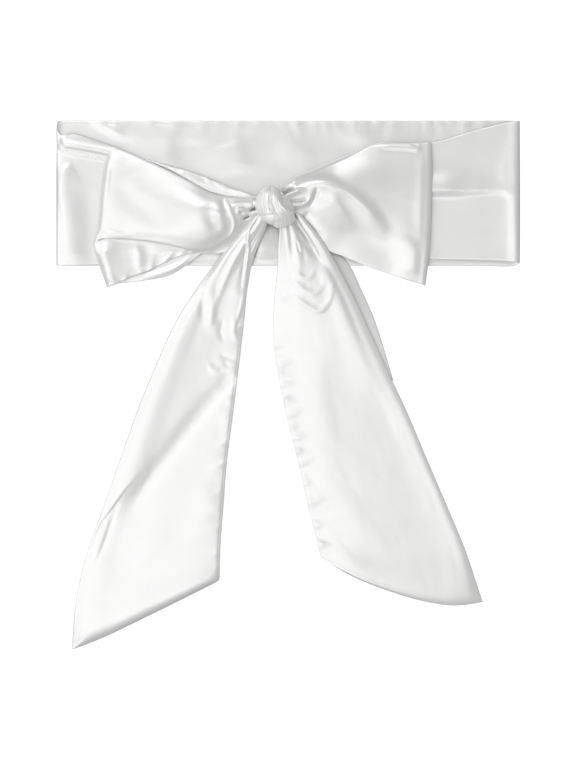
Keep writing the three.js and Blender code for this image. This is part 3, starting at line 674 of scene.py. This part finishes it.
# top edge, upper line, middle, lower line, bottom edge
LOOP_RIGHT = [
    ((-7, 131, 4.6), (-6.2, 129, 4.6), (-5.4, 127, 4.6), (-4.6, 125, 4.6), (-4, 123.5, 4.6)),
    ((2, 137, 4.6), (3.6, 133.5, 4.6), (5.2, 129, 4.6), (6.8, 124.5, 4.6), (8.4, 120.4, 4.6)),
    ((18, 145, 4.4), (18, 138, 4.4), (18, 129.5, 4.4), (18.2, 121, 4.4), (18.6, 112.6, 4.4)),
    ((38, 153.4, 3.7), (37.4, 140, 3.7), (36.6, 125, 3.7), (36, 110.5, 3.7), (35, 97, 3.6)),
    ((60, 164.2, 3.3), (58, 144, 3.3), (55, 124, 3.3), (52.6, 104, 3.3), (50, 85.4, 3.2)),
    ((75, 165.8, 3.1), (75.4, 142, 3.1), (74, 118, 3.1), (72, 98, 3.1), (70, 77.4, 3)),
    ((93.8, 166, 3.1), (95.8, 146, 3.2), (95.2, 118, 3.2), (94.2, 93, 3.1), (91, 70, 2.8)),
    ((98.2, 167.4, 3.7), (99.2, 146, 4), (98.4, 118, 4.1), (97.2, 92, 4), (94.4, 68.4, 3.5)),
    ((96.8, 167.2, 4.6), (97.2, 146, 6), (96.4, 118, 6), (95.4, 92, 5.8), (93, 69.2, 4.4)),
    ((93, 167.2, 4.8), (93.2, 145, 6.6), (92.4, 118, 6.4), (91.4, 94, 6.2), (89.4, 70, 4.5)),
    ((84, 167, 5.1), (84.6, 144, 7), (83.8, 118, 6.6), (83.2, 95, 6.2), (81.6, 72.2, 4.6)),
    ((72, 166.9, 5.4), (72.8, 143.6, 7.5), (72, 119, 7.1), (71.4, 97, 5.3), (70, 76.4, 4.3)),
    ((58, 165, 5.9), (58.8, 142.8, 8.5), (58, 120.4, 8), (57.6, 102, 5.5), (56.4, 80.8, 4.6)),
    ((42, 157, 6.4), (42, 140, 9.6), (41, 123, 9.1), (40, 107, 7), (38.6, 88.4, 5)),
    ((24, 149, 6.6), (24, 139.5, 10.8), (24, 127, 10.6), (22, 112, 8.8), (18.4, 96, 5)),
    ((8, 142.4, 7.6), (9.5, 137, 11.4), (11, 130, 11.4), (11, 120, 9.8), (8.4, 108, 5.6)),
    ((-3, 136.6, 8.6), (-1, 133, 11.4), (2, 129, 11.8), (4, 123, 10.6), (4.2, 115, 7.2)),
    ((-9, 130, 9.6), (-8, 128.5, 11.4), (-7, 127, 11.8), (-6, 125, 10.8), (-5, 121, 9)),
]
LOOP_RIGHT_FOLDS = [
    ridge(2, (4.2, 6.5), (5, 137.6), (13, 139.4), (22, 139.8), (30, 137.6), (36, 135), (42, 131.8),
          (48, 127.2), (55, 120), (61, 112.6), (67, 105), (74, 100), ends=(0.25, 0.3)),
    ridge(1.1, (4.6, 11), (24, 135.4), (30, 128.4), (35.4, 120.6), (40.6, 112.4), (46, 104),
          ends=(0.35, 0.5)),
    ridge(1.5, (2.4, 1.3), (-6, 133.6), (-3.6, 136.8), (2, 139.8), (10, 141.8), ends=(0.07, 0.45)),
    trough(6, (2.2, 0.8), (-3.4, 131), (0, 132.6), (6.4, 134.8), ends=(0.07, 0.39)),
    ridge(1.5, (0.8, 2), (-2, 130.2), (2, 131.8), (8, 134.4), (14, 134.8), ends=(0.13, 0.45)),
    trough(1.6, 0.9, (-2, 126.6), (5, 126.2), (11, 126.8), (13.4, 128.4), ends=(0.07, 0.45)),
    ridge(1.5, (1.2, 1.8), (-3, 123.6), (5, 123.4), (11, 124.6), (15.2, 127.8), (15, 132),
          ends=(0.07, 0.45)),
    trough(1.6, (1.8, 2.2), (12, 121.6), (17, 126.4), (19.4, 131.6), (20, 136.6), ends=(0.33, 0.39)),
    trough(1.2, 4, (10, 119), (16, 110), (25, 99), ends=(0.2, 0.33)),
    ridge(0.9, (6.5, 12), (62, 99), (73, 99.6), (82, 98), (87.6, 92), (88.8, 82), (87.8, 71),
          ends=(0.6, 0.2)),
    trough(0.3, 4, (66, 104), (80, 103), (89, 98), (92, 88), (91.6, 74), ends=(0.4, 0.15)),
    ridge(0.9, (1.8, 4.4), (95.8, 164), (95.4, 150), (95, 132), (93.8, 118), (95.6, 100), (95.8, 84),
          (94, 70), ends=(0.2, 0.07)),
    ridge(0.7, (3, 2.2), (58, 163.6), (70, 164), (84, 163.4), (95, 162), ends=(0.33, 0.2)),
    trough(0.4, 0.7, (84, 165.6), (90, 164.6)),
]
print("the right loop's net has", len(LOOP_RIGHT), "rows and", len(LOOP_RIGHT_FOLDS), "folds")

# %% The right loop

LOOP_RIGHT_TURN = 114.0


def make_right_loop():
    loop = Sheet(LOOP_RIGHT, along=((6, 44), (9, 16), (13, 110), (17, 136)),
                 across=(34, 32, 30, 32), wide_row=10)
    loop.lift(loop.beyond(LOOP_RIGHT_TURN) * folds(loop, LOOP_RIGHT_FOLDS))
    return cloth("right_loop", loop, SATIN)


right_loop = make_right_loop()
settle(right_loop, "loop_right_under", "loop_right_upper")

# %% [markdown]
# The tails come out from under the knot gathered, and open out to their full width as they go.
# They step down over the band's edge to the surface, and end in a slanting cut that is turned in and
# curls down.
# Along the inner edge of each runs the seam, with small puckers and longer tucks of its own.
# Each is a sheet of its own, because the knot hides where it goes on into the rest of the strip.

# %% The left tail's net and folds

# left edge, left line, left of the middle, right of the middle, right line, right edge
TAIL_LEFT = [
    ((-20, 119, 8.2), (-18.8, 118.8, 8.8), (-17.4, 118.6, 9),
     (-16.2, 118.3, 8.9), (-15, 118, 8.6), (-13.4, 117.4, 8)),
    ((-26.4, 111.4, 6.4), (-24.4, 111, 7.8), (-22, 110.6, 8.4),
     (-19.6, 110, 8.4), (-17.4, 109.2, 7.8), (-14.8, 108.6, 6)),
    ((-35.4, 102.2, 4.4), (-32.6, 101.4, 6.2), (-29.4, 100.6, 7),
     (-25.6, 100, 7), (-22.2, 99.6, 6.3), (-18.8, 99.4, 5.4)),
    ((-46.6, 88.8, 2.9), (-42, 88.4, 5.6), (-36.8, 88, 6),
     (-31.8, 87.8, 5.7), (-27.6, 87.5, 5.1), (-23.6, 87.4, 4.3)),
    ((-62, 68, 1.2), (-55.6, 67.6, 4.2), (-47.6, 67, 4.3),
     (-40.4, 66.8, 4.2), (-34, 66.4, 4), (-28, 66, 3)),
    ((-77.4, 44, 1), (-70, 44, 3.5), (-58.6, 44, 2.9), (-48, 44, 2.6), (-34.4, 44, 2.5), (-30.2, 44, 2)),
    ((-91.6, 13, 0.9), (-84, 13, 3.5), (-70, 13, 2.7), (-56, 13, 2.2), (-37.4, 13, 2.1), (-33.8, 13, 1.6)),
    ((-104.2, -18, 0.9), (-96.6, -18, 3.4), (-81, -18, 2.6),
     (-64, -18, 2), (-41, -18, 2.2), (-37.6, -18, 1.7)),
    ((-117, -54, 0.8), (-109, -54, 2.7), (-92, -53.4, 2.1),
     (-76, -53, 2.1), (-45.2, -52, 2.4), (-42, -52, 1.9)),
    ((-128.2, -86, 0.7), (-121, -86, 2.1), (-106, -86, 1.9),
     (-86, -85.6, 2.2), (-47.8, -85, 2.5), (-44.6, -85, 2)),
    ((-139.8, -119, 0.5), (-132, -118, 2), (-115, -115.6, 1.9),
     (-92, -113, 2.3), (-49.8, -108.6, 2.5), (-46.4, -108, 2)),
    ((-146.6, -150, 0.5), (-139, -147.4, 2.2), (-121, -141.6, 2.2),
     (-96, -134, 2.4), (-50.4, -122, 2.5), (-46.9, -121, 1.9)),
    ((-149, -179.6, 0.5), (-142, -176.6, 2.7), (-123.6, -168.6, 3.1),
     (-98, -156.7, 3.2), (-50.6, -133.8, 2.5), (-47.2, -132, 1.4)),
    ((-149.3, -182.6, 0.4), (-142, -179.9, 0.45), (-123.4, -172.2, 0.45),
     (-97.4, -159.6, 0.45), (-50.4, -136.2, 0.45), (-47.4, -134.6, 0.4)),
]
TAIL_LEFT_GATHERS = [
    dict(at=0.16, to=0.2, run=80, steep=0.24, half=0.07),
    dict(at=0.3, to=0.34, run=70, steep=-0.24, half=0.06),
    dict(at=0.48, to=0.5, run=100, steep=0.26, half=0.07),
    dict(at=0.7, to=0.66, run=60, steep=-0.24, half=0.05),
    dict(at=0.86, to=0.9, run=60, steep=0.28, half=0.05),
]
TAIL_LEFT_FOLDS = [
    ridge(0.8, (1, 1.4), (-21, 117), (-24.4, 111), (-27.2, 105), (-27.3, 92), (-28.6, 82), (-31, 58),
          (-37, 40), (-42, 27), ends=(0.07, 0.52)),
    trough(0.5, (1.4, 2), (-28.6, 104), (-29, 92), (-31, 78), (-35, 60), ends=(0.13, 0.52)),
    ridge(0.5, (2.2, 1.8), (-36.6, 50), (-37.6, 40), (-36, 29)),
    trough(0.4, (2, 2.4), (-44, 46), (-46, 38), (-45, 29)),
    ridge(0.5, (3, 3.6), (-52, 72), (-53, 52), (-52, 34)),
    trough(0.4, 2.6, (-57, 72), (-59, 56), (-59, 42)),
    trough(1.1, (5, 7), (-36, 8), (-43, 0), (-52, -10), (-68, -30), (-81, -47), (-95, -66), (-109, -84),
           (-120, -97), ends=(0.1, 0.26)),
    ridge(0.6, (1, 2.6), (-99, -56), (-113.7, -73), (-124.5, -87.7), (-130.8, -96.7), (-135.3, -107.5),
          (-140.6, -121), ends=(0.39, 0.33)),
    trough(0.6, (1.6, 2.2), (-116, -78), (-122.7, -98), (-128, -113), (-137, -133)),
    ridge(0.25, 1.7, (-53, 16.4), (-53.6, 12.4), (-50, 10.4), (-46, 12)),
    trough(0.25, 2, (-45, 16.6), (-42.3, 14.2), (-41, 10)),
    trough(0.3, 2, (-48, 22), (-42, 19), (-34, 17)),
    ridge(0.5, 9, (-52, -66), (-56, -86), (-64, -108)),
    ridge(0.3, 8, (-78, -96), (-96, -112), (-112, -134)),
]
# place on the seam, how far across and up the tuck runs from it, its height and its half width
TAIL_LEFT_TUCKS = [
    (-34.6, 5, -13, -5, 0.5, 2), (-36, -5, -8, -1, 0.3, 1.6), (-37.6, -18, -15, -6, 0.5, 2.4),
    (-38.9, -30, -9, 1, 0.3, 1.6), (-39.9, -38, -12, -6, 0.5, 2.2), (-41.6, -52, -18, -9, 0.5, 3),
    (-43.2, -70, -10, -4, 0.4, 2.2), (-45, -96, -14, -7, 0.4, 3.2), (-46.4, -114, -8, -3, 0.3, 1.9),
]
print("the left tail's net has", len(TAIL_LEFT), "rows and", len(TAIL_LEFT_FOLDS), "folds")

# %% The left tail

TAIL_SEAM = dict(spacing=17, depth=0.6, reach=6)
SEAM_STOP = 14  # the puckers end this far before the cut
SEAM_INSIDE = 1.6  # from the edge to the end of the turned-in cloth


def shape_tail(tail, seam_edge, seam_start, seed, tail_tucks, tail_folds, tail_gathers):
    """A tail's seam along one edge, and its folds and gathers over the rest."""
    seam_stop = tail.along[-1] - SEAM_STOP
    seam = puckers(tail, seam_edge, seam_start, seam_stop, seed=seed, **TAIL_SEAM)
    seam += tucks(tail, tail_tucks) + groove(tail, seam_edge, SEAM_INSIDE)
    tail.lift(folds(tail, tail_folds) + gathers(tail, tail_gathers) + seam)


def make_left_tail():
    tail = Sheet(TAIL_LEFT, along=((4, 70), (12, 250), (13, 12)), across=(14, 26, 24, 32, 10), wide_row=8)
    shape_tail(tail, "second", 66, 21, TAIL_LEFT_TUCKS, TAIL_LEFT_FOLDS, TAIL_LEFT_GATHERS)
    return cloth("left_tail", tail, SATIN)


left_tail = make_left_tail()
settle(left_tail, "tail_left")

# %% The right tail's net and folds, and the pleat under its edge

# left edge, left line, middle, right line, wedge, roll, roll's crest, fold edge
TAIL_RIGHT = [
    ((-5, 119, 7), (-4.4, 119, 7.4), (-3.8, 119, 7.6), (-3.2, 119.4, 7.6),
     (-2.6, 120, 7.6), (-2, 121, 9.6), (-1.2, 121.6, 10), (-0.4, 122, 9.2)),
    ((-5.6, 113, 6), (-4, 113, 7), (-2, 113.2, 7.4), (0.6, 113.8, 7.2),
     (2.6, 115, 4.8), (4.4, 117.4, 9.2), (5.6, 118.2, 10), (6.6, 119, 9.2)),
    ((-6, 104, 4.8), (-3, 104.6, 6.6), (0.4, 105.4, 7.2), (4.6, 106.4, 6.8),
     (8.6, 107.6, 3.6), (10.6, 108.6, 8.2), (12.6, 109.6, 9.2), (14.6, 110.6, 8.6)),
    ((-6.8, 94, 3.4), (-1, 94.6, 5.8), (4, 95.4, 6.4), (9.6, 96.6, 6.2),
     (15, 98.2, 3.2), (17, 99.2, 7.2), (19.8, 100.2, 8.2), (22.4, 101.2, 7.4)),
    ((-7, 86, 2.6), (1.4, 86.4, 5.4), (8.4, 87, 6), (15, 87.8, 5.8),
     (20.4, 89.4, 5.2), (22.4, 90.2, 6.4), (25.4, 91, 7), (28.4, 91.8, 6.2)),
    ((-8, 75, 1.4), (3, 75, 5), (12, 75.2, 5.4), (20, 75.6, 5.4),
     (26.6, 77, 5.6), (29.4, 77.8, 5.2), (32.4, 78.6, 5), (35.6, 79.4, 4.4)),
    ((-9.6, 58, 0.6), (4, 58, 4), (15.4, 58.4, 4.6), (26, 59, 4.6),
     (34.4, 60.4, 4.8), (38, 61, 4.2), (41.2, 61.6, 4), (44.6, 62.2, 3.4)),
    ((-10.4, 34, 0.5), (6, 34, 2.4), (20, 34.2, 3), (33, 34.8, 3.4),
     (44, 35.6, 3.8), (48.6, 36, 3.4), (52.6, 36.4, 3.3), (56.6, 36.8, 2.7)),
    ((-7.4, 9, 0.5), (10.6, 9, 1.6), (26, 9, 2), (41, 9.2, 2.4),
     (54, 9.6, 2.8), (59.4, 9.8, 2.8), (64.6, 10, 2.8), (68.6, 10.2, 2.3)),
    ((-1.6, -20, 0.5), (17, -20, 1.6), (34, -20, 1.9), (51, -20, 2.1),
     (66, -19.6, 2.2), (73, -19.4, 2.5), (79.4, -19.2, 2.6), (82.2, -19, 2.1)),
    ((6.4, -52, 0.5), (25, -52, 1.6), (43, -52, 1.9), (61.6, -52, 2),
     (79, -52, 2), (87, -52, 2.3), (93.6, -52, 2.5), (96.2, -52, 2)),
    ((13.6, -84, 0.5), (33, -85, 1.6), (52, -86, 1.9), (72, -86, 2),
     (91, -85, 2), (100.4, -84.6, 2.3), (107.2, -84.2, 2.5), (109.8, -83.8, 2)),
    ((18.8, -104, 0.5), (39, -110, 1.6), (59.4, -114, 1.9), (80.6, -116, 2),
     (101, -115.6, 2), (112, -115, 2.3), (119.4, -114.4, 2.4), (122.2, -113.6, 1.8)),
    ((22.2, -117.6, 0.5), (43.6, -129.4, 1.9), (65.4, -138, 2.2), (88, -144.6, 2.4),
     (108.4, -148, 2.4), (117.6, -148.4, 2.4), (126.6, -147.8, 2.1), (133.4, -146.8, 1.2)),
    ((23, -119.6, 0.4), (45.4, -132.4, 0.45), (68, -141.4, 0.45), (91.6, -148.6, 0.45),
     (110.4, -151.8, 0.45), (119, -151.8, 0.45), (127.2, -150.8, 0.45), (134.6, -149.6, 0.4)),
]
# inner edge, outer edge
PLEAT = [
    ((22, 91, 2.4), (33, 94.4, 1)),
    ((29, 80, 2.3), (42.6, 82.6, 0.7)),
    ((38, 63, 1.9), (50.8, 65.4, 0.5)),
    ((48, 43, 1.4), (59.4, 46, 0.5)),
    ((58, 23, 1), (66.4, 24.6, 0.5)),
    ((68, 4, 0.6), (72.6, 3.4, 0.5)),
]
TAIL_RIGHT_GATHERS = [
    dict(at=0.2, to=0.18, run=56, steep=0.24, half=0.06),
    dict(at=0.32, to=0.28, run=44, steep=-0.22, half=0.05),
    dict(at=0.42, to=0.38, run=60, steep=0.24, half=0.06),
    dict(at=0.52, to=0.5, run=46, steep=-0.26, half=0.04),
]
TAIL_RIGHT_FOLDS = [
    ridge(0.38, (2.4, 1.4), (-7, 67), (2, 61.5), (12, 55), (21, 50.6), (28, 57), (31, 67), (32, 79)),
    ridge(0.32, (2.4, 1.6), (-5, 79), (3, 72), (10, 66), (18, 63), (23.6, 68), (25, 80)),
    ridge(0.3, (2, 1.4), (0, 84), (6, 77), (12, 73.4), (17, 76), (18.4, 84)),
    ridge(0.5, 4, (-7, 63), (-2, 62), (3, 60)),
    trough(0.5, (0.9, 1.2), (5, 102), (7, 95), (8, 90)),
    ridge(0.3, 10, (30, 40), (22, 10), (26, -24), (40, -60)),
    ridge(0.3, 9, (40, -70), (52, -96), (72, -120)),
]
TAIL_RIGHT_TUCKS = [
    (-9.4, 26.7, 12, 4, 0.5, 2.2), (-8.4, 19, 7, 1, 0.3, 1.5), (-7.8, 13.3, 14, 6, 0.6, 2.7),
    (-5.4, 0, 11, 2, 0.5, 2), (-3.4, -9, 8, 3, 0.3, 1.6), (-0.8, -21.7, 14, 8, 0.6, 2.6),
    (2.8, -36.7, 13, 4, 0.5, 3), (5, -46, 7, 1, 0.3, 1.5), (7.1, -55, 12, 6, 0.5, 2.2),
    (10, -68, 9, 2, 0.3, 1.9), (13.1, -81.7, 14, 6, 0.5, 2.7), (17.4, -98, 9, 4, 0.3, 2.2),
    (20.6, -111, 11, 3, 0.4, 2.4),
]
print("the right tail's net has", len(TAIL_RIGHT), "rows and", len(TAIL_RIGHT_FOLDS), "folds")

# %% The right tail and its pleat


def make_right_tail():
    tail = Sheet(TAIL_RIGHT, along=((5, 76), (13, 250), (14, 12)),
                 across=(22, 18, 18, 14, 10, 9, 10), wide_row=10)
    shape_tail(tail, "first", 46, 31, TAIL_RIGHT_TUCKS, TAIL_RIGHT_FOLDS, TAIL_RIGHT_GATHERS)
    return cloth("right_tail", tail, SATIN)


right_tail = make_right_tail()
settle(right_tail, "tail_right")

pleat = cloth("right_tail_pleat", Sheet(PLEAT, along=((5, 90),), across=(12,), wide_row=2), SATIN)
settle(pleat, "tail_right_pleat")

# %% [markdown]
# The knot is cloth wound tightly round itself.
# A rounded core stands for what is hidden, and two turns of cloth are laid over it as sheets of their own:
# one down its left side, and one that fans out over its front.

# %% The knot's core

CORE_MIDDLE = (-8.2, 121.4, 10.2)
CORE_HALF = (12.6, 11.4, 7.6)
CORE_TURN = math.radians(-24)
CORE_LOBES = 3  # soft bulges round it
LOBE_HIGH = 0.05  # share of its half width
LOBE_START = 0.6  # turns them about it


def make_core():
    bpy.ops.object.select_all(action="DESELECT")
    bpy.ops.mesh.primitive_uv_sphere_add(segments=96, ring_count=48, radius=1)
    core = bpy.context.object
    core.name = "knot_core"
    places = np.zeros(len(core.data.vertices) * 3)
    core.data.vertices.foreach_get("co", places)
    unit = places.reshape(-1, 3)
    round_it = np.arctan2(unit[:, 1], unit[:, 0])
    lobes = 1 + LOBE_HIGH * np.sin(CORE_LOBES * round_it + LOBE_START) * (1 - unit[:, 2] ** 2)
    out = unit * np.array(CORE_HALF) * lobes[:, None]
    turn = np.array([[math.cos(CORE_TURN), -math.sin(CORE_TURN)], [math.sin(CORE_TURN), math.cos(CORE_TURN)]])
    out[:, :2] = out[:, :2] @ turn.T
    out += np.array(CORE_MIDDLE)
    core.data.vertices.foreach_set("co", (out * MM).ravel())
    bpy.ops.object.shade_smooth()
    # the core takes the knot's satin, whose lighter colour is painted light
    core.data.materials.append(SATIN_KNOT_PAINTED_LIGHTER)
    print(core.name, "corners", len(core.data.vertices))
    return core


core = make_core()
settle(core, "knot")

# %% The two turns over the knot

# left edge, left line, middle, right line, right edge
SIDE_TURN = [
    ((-17.6, 134.4, 8), (-16.4, 135.2, 9.4), (-14.8, 136, 10), (-13, 136.2, 10), (-11.4, 136, 9)),
    ((-19.8, 131.8, 10), (-18, 132.8, 13.6), (-15.8, 133.4, 15.4), (-13.6, 133.4, 16), (-11.4, 133, 15.6)),
    ((-21.6, 128.4, 10.4), (-19.6, 128.8, 14.6), (-17, 129, 16.8),
     (-14.2, 129, 17.8), (-11.4, 128.8, 17.8)),
    ((-22.4, 124.2, 10.6), (-20, 124.4, 15.2), (-17.2, 124.6, 17.4),
     (-14.2, 124.6, 18.6), (-11.2, 124.6, 18.8)),
    ((-22.2, 120.8, 10.4), (-19.8, 120.6, 14.8), (-17, 120.4, 16.8),
     (-13.8, 120.4, 18), (-10.6, 120.4, 18.6)),
    ((-21.2, 118, 9.6), (-19, 117.4, 13.2), (-16.2, 117.2, 15.2), (-13, 117.2, 16.4), (-10, 117.2, 17)),
    ((-20.4, 117.2, 8), (-18.2, 116.4, 11), (-15.4, 116.2, 12.6), (-12.4, 116.2, 13.6), (-9.6, 116.2, 14)),
    ((-19, 118.4, 6), (-17, 118.4, 8), (-14.6, 118.4, 9), (-12, 118.4, 9.6), (-9.6, 118.4, 10)),
]
FRONT_TURN = [
    ((-12, 135.2, 10), (-11, 135.8, 11), (-9.6, 135.6, 11.6), (-8.2, 134.8, 11), (-7, 133.6, 10)),
    ((-12.6, 131.8, 16.6), (-11, 132, 17.8), (-9.2, 132, 18.2), (-7.4, 131.6, 17.6), (-5.8, 130.8, 15.8)),
    ((-12.7, 127.8, 19), (-10.9, 127.8, 20), (-8.9, 127.8, 20.4), (-6.9, 127.6, 20.2), (-5, 127.2, 18.8)),
    ((-12.3, 123.8, 19.2), (-10.2, 123.6, 20.2), (-8, 123.6, 21), (-5.8, 123.6, 21.2), (-3.6, 123.4, 20)),
    ((-11, 120, 18.4), (-8.4, 119.4, 19.6), (-5, 119.2, 20.6), (-2, 119.6, 20.6), (0.8, 119.8, 19.2)),
    ((-10.4, 117, 16.8), (-7.6, 116, 17.6), (-3.8, 115.8, 18.4), (0.2, 116.6, 18.4), (3.8, 117.8, 17.2)),
    ((-10.8, 114, 14), (-8, 112.4, 14.4), (-4, 112, 14.8), (0.8, 113.2, 15), (4.9, 115.4, 14)),
    ((-11.2, 111.2, 10.4), (-8.8, 109, 10.4), (-4.6, 108.2, 10.6), (0.8, 110.2, 10.8), (5.3, 113.2, 10.4)),
    ((-10.6, 111, 6), (-8, 109.6, 6), (-4, 109.6, 6), (0.4, 111, 6), (4.4, 113, 6)),
]
SIDE_PLEATS = (0.14, 0.25, 0.36, 0.47, 0.58, 0.7, 0.82)  # shares of the turn's width
FRONT_PLEATS = (0.12, 0.28, 0.42, 0.6, 0.78)
PLEAT_FADE = 0.2
TURN_THICK = 0.9


def wound(name, net, pleats, high, seed):
    """A turn of cloth round the knot, with fine uneven pleats that run along it."""
    turn = Sheet(net, along=((len(net) - 1, 100),), across=(24, 22, 22, 24), wide_row=3)
    dice = np.random.default_rng(seed)
    share = turn.from_first / turn.wide
    run = turn.along / turn.along[-1]
    heights = np.zeros(turn.x.shape)
    for at in pleats:
        drift = dice.uniform(-0.05, 0.05)
        half = dice.uniform(0.02, 0.04)
        tall = high * dice.uniform(0.5, 1.2)
        start = dice.uniform(0.0, 0.25)
        stop = dice.uniform(0.75, 1.0)
        fade = smooth(start, start + PLEAT_FADE, run) * (1 - smooth(stop - PLEAT_FADE, stop, run))
        away = (share - at - drift * run[:, None]) / half
        heights += tall * fade[:, None] * np.exp(-(away**2))
    turn.lift(heights)
    # the turns take the knot's satin, whose lighter colour is painted light
    return cloth(name, turn, SATIN_KNOT_PAINTED_LIGHTER, thick=TURN_THICK)


side_turn = wound("knot_side_turn", SIDE_TURN, SIDE_PLEATS, high=0.35, seed=41)
front_turn = wound("knot_front_turn", FRONT_TURN, FRONT_PLEATS, high=0.3, seed=43)
settle(side_turn)
settle(front_turn, "knot_wrap")

# %% [markdown]
# The sash lies on a plain white surface in a bright room.
# Seven soft panels light it: windows at the left and at the back with a low one between them, three
# towards the front, and one on the ceiling. None stands at the right, so folds darken towards that side.
# White satin shows its folds only by what it reflects, so the panels' sizes and sides matter more than
# their strength.
# The camera looks straight down through a long lens, which keeps a flat thing's proportions.

# %% Floor

FLOOR_WIDE = 8.0
FLOOR_DOWN = 0.2 * MM  # below the sash, so that the two faces never lie in one plane
FLOOR_GREY = 0.35
FLOOR_GLOW = 0.9


def floor_material():
    """White to the camera, and a plain pale grey to the light that goes on to the satin."""
    material = bpy.data.materials.new("white_surface")
    material.use_nodes = True
    tree = material.node_tree
    shader = tree.nodes["Principled BSDF"]
    shader.inputs["Base Color"].default_value = (FLOOR_GREY, FLOOR_GREY, FLOOR_GREY, 1)
    shader.inputs["Roughness"].default_value = 0.9
    shader.inputs["Specular IOR Level"].default_value = 0.0
    shader.inputs["Emission Color"].default_value = (1, 1, 1, 1)
    seen = add_node(tree, "ShaderNodeLightPath")
    glow = add_node(tree, "ShaderNodeMath", {1: FLOOR_GLOW}, operation="MULTIPLY")
    join(seen, "Is Camera Ray", glow, 0)
    join(glow, 0, shader, "Emission Strength")
    return material


bpy.ops.object.select_all(action="DESELECT")
bpy.ops.mesh.primitive_plane_add(size=FLOOR_WIDE, location=(0, 0, -FLOOR_DOWN))
floor = bpy.context.object
floor.name = "floor"
floor.data.materials.append(floor_material())
print("floor:", FLOOR_WIDE, "metres wide")

# %% Lights and surroundings

# place and size in metres, and brightness
SOFTBOXES = {
    "window_left": ((-1.25, 0.0, 1.9), (1.1, 2.8), 1.2),
    "window_back": ((-0.5, 1.25, 2.0), (1.35, 0.9), 2.4),
    "low_window": ((-1.5, 1.4, 1.3), (1.6, 1.2), 1.5),
    "front_panel": ((-0.8, -1.25, 1.95), (1.2, 0.9), 1.0),
    "front_middle": ((-0.3, -0.8, 2.3), (1.2, 0.4), 0.9),
    "low_front": ((-1.2, -1.7, 1.3), (1.6, 1.2), 1.4),
    "ceiling_panel": ((0.1, -0.27, 2.6), (1.0, 0.36), 1.6),
}
ROOM_LIGHT = 0.485


def softbox(name, place, size, glow):
    """A rectangular light that faces the sash. glow is its brightness, whatever its size."""
    bpy.ops.object.light_add(type="AREA", location=place)
    lamp = bpy.context.object
    lamp.name = name
    lamp.data.shape = "RECTANGLE"
    lamp.data.size, lamp.data.size_y = size
    lamp.data.energy = glow * math.pi * size[0] * size[1]
    lamp.rotation_euler = (-Vector(place)).to_track_quat("-Z", "Y").to_euler()


for name, (place, size, glow) in SOFTBOXES.items():
    softbox(name, place, size, glow)
print("lamps:", len(SOFTBOXES))

world = bpy.data.worlds.new("white_room")
bpy.context.scene.world = world
world.use_nodes = True
world.node_tree.nodes["Background"].inputs["Color"].default_value = (1, 1, 1, 1)
world.node_tree.nodes["Background"].inputs["Strength"].default_value = ROOM_LIGHT
bpy.context.scene.view_settings.view_transform = "Standard"

# %% Camera, straight above

CAMERA_LENS = 150.0
SENSOR = 36.0
VIEW_HEIGHT = 0.530  # metres of the surface along the picture's long side
VIEW_MIDDLE = 0.0007  # the picture's middle on Y
CAMERA_HIGH = VIEW_HEIGHT / SENSOR * CAMERA_LENS

bpy.ops.object.camera_add(location=(0, VIEW_MIDDLE, CAMERA_HIGH), rotation=(0, 0, 0))
camera = bpy.context.object
camera.data.lens = CAMERA_LENS
camera.data.sensor_width = SENSOR
camera.data.clip_end = 20
bpy.context.scene.camera = camera
print("camera:", round(CAMERA_HIGH, 2), "metres up")
